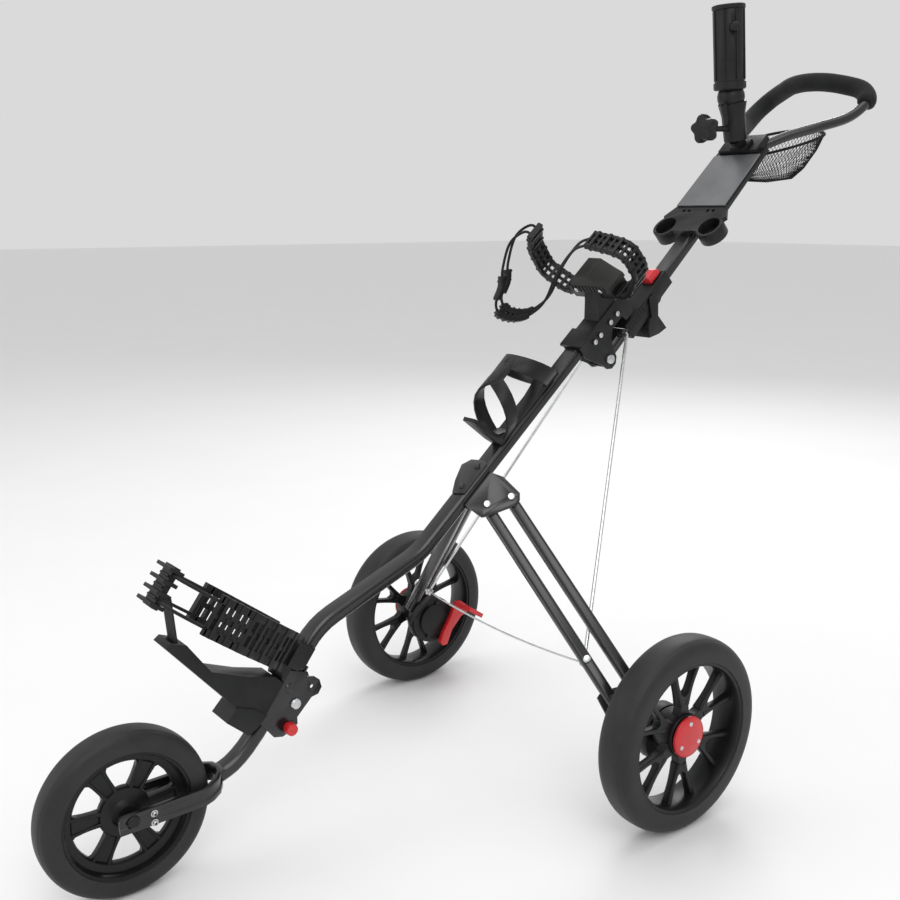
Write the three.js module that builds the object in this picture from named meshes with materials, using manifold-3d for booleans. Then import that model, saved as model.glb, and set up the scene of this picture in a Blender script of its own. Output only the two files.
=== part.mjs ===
// Three-wheel golf push cart with 292 mm rear wheels.
// Cart axes: +X to the rear (handle), +Y to the cart's right-hand side, +Z up, ground at Z = 0.
import * as THREE from "three";
import { mergeVertices } from "three/addons/utils/BufferGeometryUtils.js";
import Module from "manifold-3d";

const wasm = await Module();
wasm.setup();

// ---------- main sizes, mm ----------
const GAP = 0.4; // clearance between neighbouring pieces
const REAR_WHEEL = { radius: 146, width: 56, rim: 113, track: 333 };
const FRONT_WHEEL = { radius: 116, width: 46, rim: 88, x: -704 };
const TUBE = { width: 30, height: 20, wall: 2, corner: 3 };
const LEG = { width: 18, depth: 19, wall: 1.6 };
const ROD_RADIUS = 3;
const BORE = 5.3; // wheel and pivot holes
const AXLE = 5;

const v = (x, y, z) => new THREE.Vector3(x, y, z);
const deg = (a) => (a * Math.PI) / 180;

// ---------- geometry helpers ----------
function solid(geometry) {
  const g = geometry.index ? geometry.toNonIndexed() : geometry.clone();
  g.deleteAttribute("normal");
  g.deleteAttribute("uv");
  const m = mergeVertices(g, 1e-3);
  return new wasm.Manifold(
    new wasm.Mesh({
      numProp: 3,
      vertProperties: m.attributes.position.array,
      triVerts: new Uint32Array(m.index.array),
    }),
  );
}

function geometryOf(manifold) {
  const m = manifold.getMesh();
  const g = new THREE.BufferGeometry();
  g.setAttribute("position", new THREE.BufferAttribute(new Float32Array(m.vertProperties), 3));
  g.setIndex(new THREE.BufferAttribute(new Uint32Array(m.triVerts), 1));
  g.computeVertexNormals();
  return g;
}

const join = (...parts) => geometryOf(parts.map(solid).reduce((a, b) => a.add(b)));
const cut = (body, ...tools) =>
  geometryOf(tools.map(solid).reduce((a, b) => a.subtract(b), solid(body)));

// A right-handed frame from an origin and two directions; z is kept, x is squared to it.
function basis(origin, xDirection, zDirection) {
  const z = zDirection.clone().normalize();
  const x = xDirection.clone().addScaledVector(z, -xDirection.dot(z)).normalize();
  const y = z.clone().cross(x);
  return new THREE.Matrix4().makeBasis(x, y, z).setPosition(origin);
}

const box = (sx, sy, sz, at = v(0, 0, 0)) =>
  new THREE.BoxGeometry(sx, sy, sz).translate(at.x, at.y, at.z);

// A cylinder from one point to another.
function pin(from, to, radius, sides = 12, radiusEnd = radius) {
  const along = to.clone().sub(from);
  const g = new THREE.CylinderGeometry(radiusEnd, radius, along.length(), sides);
  g.translate(0, along.length() / 2, 0);
  const turn = new THREE.Quaternion().setFromUnitVectors(v(0, 1, 0), along.clone().normalize());
  return g.applyQuaternion(turn).translate(from.x, from.y, from.z);
}

// A polygon [[a, b], ...] in the local XY plane, thickened along local Z from z0 to z1.
function slab(points, z0, z1, holes = []) {
  const shape = new THREE.Shape(points.map(([a, b]) => new THREE.Vector2(a, b)));
  for (const [a, b, r] of holes)
    shape.holes.push(new THREE.Path(circle(r, 12).map(([x, y]) => new THREE.Vector2(a + x, b + y))));
  return new THREE.ExtrudeGeometry(shape, {
    depth: z1 - z0,
    bevelEnabled: false,
    curveSegments: 6,
  }).translate(0, 0, z0);
}

function roundedRectangle(width, height, radius, steps = 2) {
  const points = [];
  const centres = [
    [1, -1, -90],
    [1, 1, 0],
    [-1, 1, 90],
    [-1, -1, 180],
  ];
  for (const [sx, sy, start] of centres)
    for (let i = 0; i <= steps; i++) {
      const a = deg(start + (90 * i) / steps);
      points.push([
        sx * (width / 2 - radius) + radius * Math.cos(a),
        sy * (height / 2 - radius) + radius * Math.sin(a),
      ]);
    }
  return points;
}

function circle(radius, sides = 8, stretch = 1) {
  return Array.from({ length: sides }, (_, i) => {
    const a = (2 * Math.PI * i) / sides;
    return [radius * Math.cos(a), radius * stretch * Math.sin(a)];
  });
}

// The corners of a broken line rounded off to a radius.
function rounded(points, radius, steps = 5) {
  const out = [points[0].clone()];
  for (let i = 1; i < points.length - 1; i++) {
    const p = points[i];
    const a = points[i - 1].clone().sub(p);
    const b = points[i + 1].clone().sub(p);
    const half = a.angleTo(b) / 2;
    const reach = Math.min(radius / Math.tan(half), a.length() * 0.49, b.length() * 0.49);
    const start = p.clone().addScaledVector(a.normalize(), reach);
    const end = p.clone().addScaledVector(b.normalize(), reach);
    const curve = new THREE.QuadraticBezierCurve3(start, p.clone(), end);
    out.push(...curve.getPoints(steps));
  }
  out.push(points[points.length - 1].clone());
  return out;
}

const smooth = (points, steps) =>
  new THREE.CatmullRomCurve3(points, false, "centripetal").getPoints(steps);

// Rings of a section along a path. The section's first axis is level with the side, the second with up.
function rings(section, path, up, grow) {
  return path.map((p, i) => {
    const before = path[Math.max(i - 1, 0)];
    const after = path[Math.min(i + 1, path.length - 1)];
    const t = after.clone().sub(before).normalize();
    const side = t.clone().cross(up).normalize();
    const top = side.clone().cross(t);
    const k = grow ? grow(i / (path.length - 1)) : 1;
    return section.map(([a, b]) =>
      p.clone().addScaledVector(side, a * k).addScaledVector(top, b * k),
    );
  });
}

function skin(loops, closedEnds, inward = false) {
  const n = loops[0].length;
  const faces = [];
  const quad = (a, b, c, d) => faces.push(a, b, c, a, c, d);
  for (let i = 0; i < loops.length - 1; i++)
    for (let j = 0; j < n; j++) {
      const k = (j + 1) % n;
      const corners = [loops[i][j], loops[i + 1][j], loops[i + 1][k], loops[i][k]];
      quad(...(inward ? corners.reverse() : corners));
    }
  if (closedEnds) {
    const flat = closedEnds.map(([a, b]) => new THREE.Vector2(a, b));
    for (const [a, b, c] of THREE.ShapeUtils.triangulateShape(flat, [])) {
      const first = loops[0];
      const last = loops[loops.length - 1];
      faces.push(first[a], first[b], first[c], last[a], last[c], last[b]);
    }
  }
  return faces;
}

function fromFaces(faces) {
  const g = new THREE.BufferGeometry();
  g.setAttribute(
    "position",
    new THREE.BufferAttribute(new Float32Array(faces.flatMap((p) => [p.x, p.y, p.z])), 3),
  );
  g.computeVertexNormals();
  return g;
}

const sweep = (section, path, up = v(0, 0, 1), grow = null) =>
  fromFaces(skin(rings(section, path, up, grow), section));

// A pipe: outer and inner sections have the same number of points.
function pipe(outer, inner, path, up = v(0, 0, 1)) {
  const a = rings(outer, path, up);
  const b = rings(inner, path, up);
  const faces = [...skin(a, null), ...skin(b, null, true)];
  const n = outer.length;
  for (let j = 0; j < n; j++) {
    const k = (j + 1) % n;
    const first = [a[0][j], a[0][k], b[0][k], b[0][j]];
    const last = [a.at(-1)[k], a.at(-1)[j], b.at(-1)[j], b.at(-1)[k]];
    for (const q of [first, last]) faces.push(q[0], q[1], q[2], q[0], q[2], q[3]);
  }
  return fromFaces(faces);
}

// A closed profile [[radius, y], ...] turned about the Y axis.
function turned(profile, sides) {
  const closed = [...profile, profile[0]].map(([r, y]) => new THREE.Vector2(r, y));
  return new THREE.LatheGeometry(closed, sides);
}

const mirrored = (g) => {
  const m = g.index ? g.toNonIndexed() : g.clone();
  m.applyMatrix4(new THREE.Matrix4().makeScale(1, -1, 1));
  const p = m.attributes.position;
  for (let i = 0; i < p.count; i += 3) {
    const b = v(0, 0, 0).fromBufferAttribute(p, i + 1);
    const c = v(0, 0, 0).fromBufferAttribute(p, i + 2);
    p.setXYZ(i + 1, c.x, c.y, c.z);
    p.setXYZ(i + 2, b.x, b.y, b.z);
  }
  m.computeVertexNormals();
  return m;
};

// ---------- materials ----------
const finishes = {
  blackPaint: [0x17181a, 0.42, 0.3],
  blackPlastic: [0x1b1c1e, 0.55, 0],
  greyRubber: [0x3c3a36, 0.8, 0],
  tyre: [0x232427, 0.75, 0],
  foam: [0x18191b, 0.95, 0],
  steel: [0xb9bcc0, 0.3, 1],
  red: [0xb3121c, 0.4, 0],
  silver: [0x9a9ca0, 0.4, 0.2],
  cord: [0x26272a, 0.9, 0],
  webbing: [0x1a1b1d, 0.9, 0],
  mesh: [0x141518, 0.9, 0],
};
const cart = new THREE.Group();
function add(name, geometry, finish) {
  const [color, roughness, metalness] = finishes[finish];
  const material = new THREE.MeshStandardMaterial({ color, roughness, metalness });
  material.name = finish;
  const mesh = new THREE.Mesh(geometry, material);
  mesh.name = name;
  cart.add(mesh);
  return mesh;
}

// ---------- main tube ----------
// Frame of the upper straight run: s along the tube, y across, n square to its top face.
const MAIN = { at: v(97, 0, 666), angle: 41.8 };
const alongMain = v(Math.cos(deg(MAIN.angle)), 0, Math.sin(deg(MAIN.angle)));
const overMain = v(-alongMain.z, 0, alongMain.x);
const onMain = (s, y, n) =>
  MAIN.at.clone().addScaledVector(alongMain, s).addScaledVector(overMain, n).add(v(0, y, 0));
const mainFrame = (s, y, n) => basis(onMain(s, y, n), alongMain, overMain);

const MAIN_TOP = 144; // s of the tube's upper end
const MAIN_LOW_BEND = v(-408, 0, 303);
const MAIN_HIGH_BEND = v(-226, 0, 377);
const LOW_ANGLE = 53.5; // slope of the short lower run
const alongLow = v(Math.cos(deg(LOW_ANGLE)), 0, Math.sin(deg(LOW_ANGLE)));
const overLow = v(-alongLow.z, 0, alongLow.x);
const onLow = (s, y, n) =>
  MAIN_LOW_BEND.clone().addScaledVector(alongLow, -s).addScaledVector(overLow, n).add(v(0, y, 0));
const MAIN_END = 141; // distance from the lower bend to the tube's lower end

function grooved({ width, height, corner }) {
  const w = width / 2;
  const h = height / 2;
  const g = 1.4; // groove depth
  const [low, high] = [2.5, 5.5]; // groove edges above the middle
  const right = [
    [w - corner, -h],
    [w, -h + corner],
    [w, low],
    [w - g, low + 0.6],
    [w - g, high - 0.6],
    [w, high],
    [w, h - corner],
    [w - corner, h],
  ];
  return [...right, ...right.map(([a, b]) => [-a, b]).reverse()];
}
function linedUp(width, height, corner) {
  const w = width / 2;
  const h = height / 2;
  const right = [
    [w - corner, -h],
    [w, -h + corner],
    [w, 1],
    [w, 2],
    [w, 3],
    [w, 4],
    [w, h - corner],
    [w - corner, h],
  ];
  return [...right, ...right.map(([a, b]) => [-a, b]).reverse()];
}
const tubeOutside = grooved(TUBE);
const tubeInside = linedUp(TUBE.width - 7, TUBE.height - 2 * TUBE.wall, 1.2);
const mainPath = rounded(
  [onLow(MAIN_END, 0, 0), MAIN_LOW_BEND, MAIN_HIGH_BEND, onMain(MAIN_TOP, 0, 0)],
  110,
  4,
);
const mainTube = pipe(tubeOutside, tubeInside, mainPath);

// ---------- front fold bracket and fork ----------
// A through bolt with a domed head at each end, along Y.
function crossBolt(at, reach, shank = AXLE, head = 8) {
  const y = reach;
  return join(
    pin(v(at.x, -y - 0.5, at.z), v(at.x, y + 0.5, at.z), shank),
    pin(v(at.x, -y, at.z), v(at.x, -y - 3, at.z), head, 12, head * 0.75),
    pin(v(at.x, y, at.z), v(at.x, y + 3, at.z), head, 12, head * 0.75),
  );
}
const FOLD_PIVOT = v(-454, 0, 202);
const PLATE = [TUBE.width / 2 + GAP, TUBE.width / 2 + GAP + 3]; // inner and outer face of a side plate
const PLATE_BOLT = onLow(93, 0, 0);
const plateOutline = [
  [-461, 254],
  [-438, 246],
  [-434, 238],
  [-422, 235],
  [-414, 228],
  [-411, 216],
  [-417, 207],
  [-428, 205],
  [-452, 181],
  [-452, 171],
  [-460, 164],
  [-476, 158],
  [-490, 161],
  [-510, 187],
];
// ExtrudeGeometry runs along its own Z; this turns an XZ outline so that it thickens along +Y.
const flat = (points, y0, y1, holes = []) =>
  slab(
    points.map(([x, z]) => [x, -z]),
    y0,
    y1,
    holes.map(([x, z, r]) => [x, -z, r]),
  ).applyMatrix4(new THREE.Matrix4().makeRotationX(-Math.PI / 2));
const foldHoles = [
  [FOLD_PIVOT.x, FOLD_PIVOT.z, BORE],
  [-427, 221, 3],
];
// A web behind the tube ties the two side plates into one pressed bracket.
const foldWeb = box(34, 2 * PLATE[0] + 1, 3).applyMatrix4(
  basis(onLow(72, 0, -TUBE.height / 2 - GAP - 1.6), alongLow, overLow),
);
const foldBracket = join(
  flat(plateOutline, -PLATE[1], -PLATE[0], [...foldHoles, [-469, 172, BORE]]),
  flat(plateOutline, PLATE[0], PLATE[1], [...foldHoles, [-469, 172, 3]]),
  foldWeb,
  crossBolt(PLATE_BOLT, PLATE[1] - 0.5, AXLE - 1),
);
const plateBore = pin(PLATE_BOLT.clone().setY(-30), PLATE_BOLT.clone().setY(30), BORE);
add("main_tube", cut(mainTube, plateBore), "blackPaint");
add("front_fold_bracket", foldBracket, "blackPaint");
add("front_fold_pin", crossBolt(FOLD_PIVOT, PLATE[1] + GAP, AXLE, 9), "steel");

const FORK = { inner: 29, thickness: 7, height: 25 };
const frontAxle = v(FRONT_WHEEL.x, 0, FRONT_WHEEL.radius);
const YOKE_CENTRE_X = -603;
function forkPath() {
  const r = FORK.inner + FORK.thickness / 2;
  const points = [v(-722, -r, 113), v(YOKE_CENTRE_X, -r, 116)];
  for (let a = -75; a <= 75; a += 25)
    points.push(
      v(YOKE_CENTRE_X + r * Math.cos(deg(a)) * 1.05, r * Math.sin(deg(a)), 116 + 8 * Math.cos(deg(a))),
    );
  points.push(v(YOKE_CENTRE_X, r, 116), v(-722, r, 113));
  return points;
}
const channel = [
  [-3.5, -12.5],
  [3.5, -12.5],
  [3.5, -6],
  [1, -4],
  [1, 4],
  [3.5, 6],
  [3.5, 12.5],
  [-3.5, 12.5],
];
const yoke = sweep(channel, forkPath());
const stemPath = smooth(
  [v(-569, 0, 124), v(-549, 0, 132), v(-526, 0, 150), onLow(MAIN_END + 9, 0, 0), onLow(MAIN_END + 2, 0, 0)],
  8,
);
const stem = sweep(roundedRectangle(27, 20, 4, 1), stemPath);
const foldLug = flat(
  [
    [150, 8],
    [143, 8],
    [143, -11.4],
    [104, -11.4],
    [98, -16],
    [96, -25],
    [101, -33],
    [110, -36],
    [152, -22],
    [158, -10],
  ].map(([s, n]) => onLow(s, 0, n)).map((p) => [p.x, p.z]),
  -TUBE.width / 2 + 1,
  TUBE.width / 2 - 1,
);
const armBolts = [v(-676, 0, 118), v(-676, 0, 105)].map((p) =>
  pin(p.clone().add(v(0, -FORK.inner - 6, 0)), p.clone().add(v(0, -FORK.inner - 10, 0)), 3.4, 8),
);
add(
  "front_fork",
  cut(
    join(yoke, stem, foldLug, ...armBolts),
    pin(v(FOLD_PIVOT.x, -30, FOLD_PIVOT.z), v(FOLD_PIVOT.x, 30, FOLD_PIVOT.z), BORE),
    pin(frontAxle.clone().setY(-60), frontAxle.clone().setY(60), BORE),
  ),
  "blackPaint",
);
add("front_axle", crossBolt(frontAxle, FORK.inner + FORK.thickness + GAP, AXLE, 9), "steel");
const KNOB_AT = v(-469, -PLATE[1], 172);
add(
  "fold_release_knob",
  join(
    pin(KNOB_AT.clone().add(v(0, 2.6, 0)), KNOB_AT.clone().add(v(0, -3, 0)), 4.6, 12),
    pin(KNOB_AT.clone().add(v(0, -GAP, 0)), KNOB_AT.clone().add(v(0, -7, 0)), 7, 12),
    pin(KNOB_AT.clone().add(v(0, -7, 0)), KNOB_AT.clone().add(v(0, -17, 0)), 9.5, 14, 8.5),
  ),
  "red",
);

// ---------- wheels ----------
const WHEEL_SIDES = 30;
function tyreProfile({ radius, width, rim }, bead) {
  const w = width / 2;
  return [
    [rim, -w + bead],
    [rim + 6, -w + 2],
    [rim + 14, -w],
    [radius - 13, -w + 1],
    [radius - 4, -w + 9],
    [radius, -w * 0.32],
    [radius, w * 0.32],
    [radius - 4, w - 9],
    [radius - 13, w - 1],
    [rim + 14, w],
    [rim + 6, w - 2],
    [rim, w - bead],
  ];
}
const moved = (g, at) => g.clone().translate(at.x, at.y, at.z);

// Spoke from the hub to the rim at an angle, as a bar with flat sides.
function spoke(from, to, width, y0, y1) {
  const d = to.clone().sub(from);
  const g = box(d.length(), y1 - y0, width, v(d.length() / 2, (y0 + y1) / 2, 0));
  return g.applyMatrix4(new THREE.Matrix4().makeRotationY(-Math.atan2(d.z, d.x))).translate(from.x, 0, from.z);
}
const polar = (r, a) => v(r * Math.cos(deg(a)), 0, r * Math.sin(deg(a)));

function rearRim() {
  const r = REAR_WHEEL.rim - GAP;
  const barrel = turned(
    [
      [r - 9, -24],
      [r - 2, -26],
      [r, -25],
      [r, 25],
      [r - 2, 26],
      [r - 9, 24],
      [r - 10, 0],
    ],
    WHEEL_SIDES,
  );
  const hub = turned(
    [
      [BORE + 1.2, -24],
      [24, -24],
      [27, -14],
      [33, -4],
      [33, 16],
      [BORE + 1.2, 16],
    ],
    14,
  );
  const pairs = 6;
  const spread = 17; // half the angle between the two arms of a pair, at the rim
  const spokes = [];
  for (let i = 0; i < pairs; i++)
    for (const side of [-1, 1]) {
      const a = 30 + (360 * i) / pairs;
      spokes.push(spoke(polar(27, a + side * 5), polar(r - 8, a + side * spread), 8, -8, 6));
    }
  return join(barrel, hub, ...spokes);
}

function frontRim() {
  const r = FRONT_WHEEL.rim - GAP;
  const web = turned(
    [
      [BORE, -21],
      [17, -21],
      [24, -5],
      [70, -5],
      [78, -15],
      [r, -18],
      [r, 18],
      [78, 15],
      [70, 5],
      [24, 5],
      [17, 21],
      [BORE, 21],
    ],
    WHEEL_SIDES,
  );
  const windows = [];
  const count = 6;
  for (let i = 0; i < count; i++) {
    const a = 30 + (360 * i) / count;
    const corners = [
      [35, a - 14],
      [62, a - 19],
      [69, a - 14],
      [69, a + 14],
      [62, a + 19],
      [35, a + 14],
    ].map(([q, b]) => [q * Math.cos(deg(b)), q * Math.sin(deg(b))]);
    windows.push(flat(corners, -12, 12));
  }
  return cut(web, ...windows);
}


const rearTyre = turned(tyreProfile(REAR_WHEEL, 2.5), WHEEL_SIDES);
const rearRimShape = rearRim();
const CAP_SIDES = 18;
const capShape = turned(
  [
    [0, 16.5],
    [27, 16.5],
    [31, 17.5],
    [31, 20.5],
    [28, 24],
    [0, 24.6],
  ],
  CAP_SIDES,
);
for (const side of [-1, 1]) {
  const name = side < 0 ? "left" : "right";
  const at = v(0, side * REAR_WHEEL.track, REAR_WHEEL.radius);
  const outward = (g) => (side < 0 ? mirrored(g) : g);
  add(name + "_tyre", moved(outward(rearTyre), at), "tyre");
  add(name + "_rim", moved(outward(rearRimShape), at), "blackPlastic");
  add(name + "_hub_cap", moved(outward(capShape), at), "red");
}
add("front_tyre", moved(turned(tyreProfile(FRONT_WHEEL, 5), WHEEL_SIDES), frontAxle), "tyre");
add("front_rim", moved(frontRim(), frontAxle), "blackPlastic");

// ---------- folding legs and their bracket (left side, mirrored for the right) ----------
const mainMatrix = new THREE.Matrix4().makeBasis(alongMain, v(0, 1, 0), overMain).setPosition(MAIN.at);
const lowMatrix = new THREE.Matrix4()
  .makeBasis(alongLow.clone().negate(), v(0, -1, 0), overLow)
  .setPosition(MAIN_LOW_BEND);
const onMainTube = (g) => g.applyMatrix4(mainMatrix);
const onLowTube = (g) => g.applyMatrix4(lowMatrix);

// The leg plane leans 45 degrees out from the tube; its origin is the front leg's upper pin.
const LEG_PIVOT = v(-113.8, -26.8, 438.1);
const downLeg = v(0.1585, -0.6592, -0.735).normalize();
const planeDown = alongMain.clone().cross(v(0.474, 0.704, -0.529)).negate().normalize();
const inward = alongMain.clone().cross(planeDown).normalize();
const legMatrix = basis(LEG_PIVOT, downLeg, inward); // x down the leg, y forward, z inward
const wingMatrix = basis(LEG_PIVOT, alongMain, inward); // x up the tube, y down the wing
const inLegs = (g) => g.applyMatrix4(legMatrix);
const REAR_LEG = { down: 9.1, back: 38.9 }; // the rear leg's upper pin in the leg plane
const LEG_LOWER_PIN = 345;
const LEG_END = 358;
const ROD_PIN = 277.6;
const PIN_HOLE = 4.4;
const PIN = 4;
const WING = [10.2, 13.2]; // the wing plate lies outside the legs
const rearPin = [32.7, 22.9]; // the same pin along the tube and down the wing

const wing = slab(
  [
    [-22, -26],
    [46, -26],
    [52, -6],
    [46, 30],
    [36, 37],
    [24, 36],
    [-12, 14],
    [-22, 6],
  ],
  -WING[1],
  -WING[0],
  [
    [0, 0, PIN_HOLE],
    [...rearPin, PIN_HOLE],
  ],
).applyMatrix4(wingMatrix);
const BRACKET_S = [-331, -263]; // the bracket's span along the main tube
const bracketMiddle = (BRACKET_S[0] + BRACKET_S[1]) / 2;
const bracketLength = BRACKET_S[1] - BRACKET_S[0];
const bracketFloor = onMainTube(box(bracketLength, 35.6, 2.6, v(bracketMiddle, 0, -12)));
const bracketSide = onMainTube(box(bracketLength, 2.6, 13, v(bracketMiddle, -16.8, -6.6)));
const wings = join(wing, bracketSide, bracketFloor);
const coverOutline = [
  [-319, -15],
  [-258, -15],
  [-254, -4],
  [-258, 24],
  [-272, 36],
  [-302, 24],
  [-324, 10],
];
const cover = onMainTube(slab(coverOutline, TUBE.height / 2 + GAP, TUBE.height / 2 + GAP + 2.6));
const coverSide = onMainTube(box(40, 2.6, 26, v(-284, 16.9, 0)));
const rivets = [-309, -268].map((s) =>
  onMainTube(new THREE.CylinderGeometry(5, 6, 3, 10).rotateX(Math.PI / 2).translate(s, 0, 14.2)),
);
add("leg_bracket", join(wings, mirrored(wings), cover, coverSide, ...rivets), "blackPaint");

// A bolt along the leg plane's normal, from its outer face to its inner face.
function legBolt(down, back, outer, inner, head) {
  const at = (z) => v(down, -back, z);
  return inLegs(
    join(
      pin(at(-outer - 0.5), at(inner + 0.5), PIN, 10),
      pin(at(-outer), at(-outer - 3.4), head, 12, head * 0.8),
      pin(at(inner), at(inner + 4.4), head, 6),
    ),
  );
}
function legTube(down, back, end, holes) {
  const outer = roundedRectangle(LEG.depth, LEG.width, 5, 2);
  const inner = roundedRectangle(LEG.depth - 2 * LEG.wall, LEG.width - 2 * LEG.wall, 3.4, 2);
  const g = pipe(outer, inner, [v(down - 9, -back, 0), v(end, -back, 0)], v(0, 1, 0));
  return inLegs(cut(g, ...holes.map((s) => pin(v(s, -back, -20), v(s, -back, 20), PIN_HOLE, 10))));
}
const LEG_FACE = LEG.depth / 2 + GAP;
const ROD_PLANE = 15.4; // the push rod's eye lies this far inward of the leg's middle
const frontLeg = legTube(0, 0, LEG_END, [0, ROD_PIN, LEG_LOWER_PIN]);
const rearLeg = legTube(REAR_LEG.down, REAR_LEG.back, LEG_END + REAR_LEG.down, [
  REAR_LEG.down,
  LEG_LOWER_PIN + REAR_LEG.down,
]);

const DISC = { x: 8, z: 130, radius: 44, inner: 284, outer: 303 };
const AXLE_RADIUS = 6;
const lugOutline = [
  [332, 14],
  [326, 0],
  [332, -12],
  [343, -46],
  [352, -53],
  [372, -52],
  [395, -46],
  [395, 10],
  [372, 18],
];
const lowerPins = [
  [LEG_LOWER_PIN, 0],
  [LEG_LOWER_PIN + REAR_LEG.down, REAR_LEG.back],
];
const discY = (y) => v(DISC.x, -y, DISC.z);
const discBolts = [
  [17, 161],
  [-9, 144],
  [31, 119],
  [-4, 100],
];
const PEDAL_PIN = v(26, 0, 89);
const carrierBody = join(
  inLegs(slab(lugOutline, LEG_FACE + GAP, LEG_FACE + GAP + 6)),
  ...lowerPins.map(([s, b]) =>
    inLegs(
      join(
        pin(v(s, -b, LEG_FACE + 2), v(s, -b, -LEG_FACE - 1), PIN, 10),
        pin(v(s, -b, -LEG_FACE), v(s, -b, -LEG_FACE - 3), 6.5, 10, 5),
      ),
    ),
  ),
  pin(discY(DISC.inner), discY(DISC.outer), DISC.radius, 28),
  pin(discY(DISC.inner - 5), discY(DISC.inner + 1), 30, 20),
  pin(v(0, -DISC.outer + 1, REAR_WHEEL.radius), v(0, -349, REAR_WHEEL.radius), AXLE_RADIUS, 12),
  ...discBolts.map(([x, z]) => pin(v(x, -DISC.inner - 1, z), v(x, -DISC.inner + 4, z), 5, 6)),
);
const pedalHole = pin(PEDAL_PIN.clone().setY(270), PEDAL_PIN.clone().setY(310), PIN_HOLE, 12);

// Push rod: an eye at the leg bolt, a straight run, and an end turned in to the handle's boss.
const ROD_TOP = v(184, -30, 690);
const rodEye = v(ROD_PIN, 0, ROD_PLANE).applyMatrix4(legMatrix);
const towardRod = ROD_TOP.clone().sub(rodEye).normalize();
const rodStart = rodEye.clone().addScaledVector(towardRod, 6.5);
const rodPath = [
  rodStart,
  ...rounded([rodEye.clone().addScaledVector(towardRod, 300), ROD_TOP, ROD_TOP.clone().setY(-20)], 8, 3),
];
const BOSS_Y = 26; // half length of the handle's cross boss
const rod = join(
  sweep(circle(ROD_RADIUS, 8), rodPath, v(0, 0.2, 1)),
  inLegs(
    cut(
      pin(v(ROD_PIN, 0, ROD_PLANE - 2), v(ROD_PIN, 0, ROD_PLANE + 2), 8, 12),
      pin(v(ROD_PIN, 0, ROD_PLANE - 5), v(ROD_PIN, 0, ROD_PLANE + 5), PIN_HOLE, 10),
    ),
  ),
);

function pair(name, geometry, finish) {
  add("left_" + name, geometry, finish);
  add("right_" + name, mirrored(geometry), finish);
}
pair("front_leg", frontLeg, "blackPaint");
pair("rear_leg", rearLeg, "blackPaint");
pair("front_leg_bolt", legBolt(0, 0, WING[1] + GAP, LEG_FACE, 6.5), "steel");
pair("rear_leg_bolt", legBolt(REAR_LEG.down, REAR_LEG.back, WING[1] + GAP, LEG_FACE, 6.5), "steel");
pair("rod_bolt", legBolt(ROD_PIN, 0, LEG_FACE, ROD_PLANE + 2 + GAP, 6.5), "steel");
pair("push_rod", rod, "steel");
add("left_hub_carrier", carrierBody, "blackPlastic");
add("right_hub_carrier", cut(mirrored(carrierBody), pedalHole), "blackPlastic");

// Brake pedal on the right carrier: a pin, an arm up to the rear and a wide tread.
const PEDAL_ARM = [277, DISC.inner - 5 - GAP];
const pedalArm = flat(
  [
    [16, 86],
    [22, 78],
    [32, 79],
    [44, 106],
    [66, 128],
    [84, 134],
    [87, 141],
    [66, 158],
    [52, 156],
    [44, 136],
    [24, 104],
  ],
  270,
  PEDAL_ARM[1],
);
add(
  "brake_pedal",
  join(
    pedalArm,
    pin(PEDAL_PIN.clone().setY(PEDAL_ARM[1] - 1), PEDAL_PIN.clone().setY(294), PIN, 12),
    box(36, 50, 8).applyMatrix4(basis(v(70, 253.5, 146), v(0.83, 0, -0.56), v(0.56, 0, 0.83))),
  ),
  "red",
);

// A thin cable joins the two rod bolts and hangs a little in the middle.
const cableEnd = v(ROD_PIN, 0, ROD_PLANE + 2 + GAP + 4.4 + 1.6).applyMatrix4(legMatrix);
const cablePoints = [];
const CABLE_SAG = 11;
for (let i = 0; i <= 12; i++) {
  const k = i / 6 - 1;
  cablePoints.push(v(cableEnd.x, -cableEnd.y * k, cableEnd.z - CABLE_SAG * (1 - k * k)));
}
add("cross_cable", sweep(circle(1.6, 6), cablePoints), "steel");

// ---------- handle ----------
const HANDLE = { pivot: v(155, 0, 648), angle: 43.5, width: 28.6, end: 492 };
const alongHandle = v(Math.cos(deg(HANDLE.angle)), 0, Math.sin(deg(HANDLE.angle)));
const overHandle = v(-alongHandle.z, 0, alongHandle.x);
const handleMatrix = new THREE.Matrix4()
  .makeBasis(alongHandle, v(0, 1, 0), overHandle)
  .setPosition(HANDLE.pivot);
const onHandleTube = (g) => g.applyMatrix4(handleMatrix);
const onHandle = (s, y, n) => v(s, y, n).applyMatrix4(handleMatrix);
const handlePath = [v(-11, 0, 0), v(HANDLE.end, 0, 0)];
const handleOutside = grooved({ width: HANDLE.width, height: TUBE.height, corner: TUBE.corner });
const handleInside = linedUp(HANDLE.width - 7, TUBE.height - 2 * TUBE.wall, 1.2);
const rodTopLocal = ROD_TOP.clone().applyMatrix4(handleMatrix.clone().invert());
const bossAt = (y) => v(rodTopLocal.x, y, rodTopLocal.z);
const handleTube = cut(
  join(
    pipe(handleOutside, handleInside, handlePath),
    cut(pin(bossAt(-BOSS_Y), bossAt(BOSS_Y), 8, 14), box(40, 60, 16.2, v(rodTopLocal.x, 0, -0.1))),
  ),
  pin(v(0, -30, 0), v(0, 30, 0), BORE),
  pin(bossAt(-40), bossAt(-17), 3.6, 10),
  pin(bossAt(17), bossAt(40), 3.6, 10),
);
add("handle_tube", onHandleTube(handleTube), "blackPaint");

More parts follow.
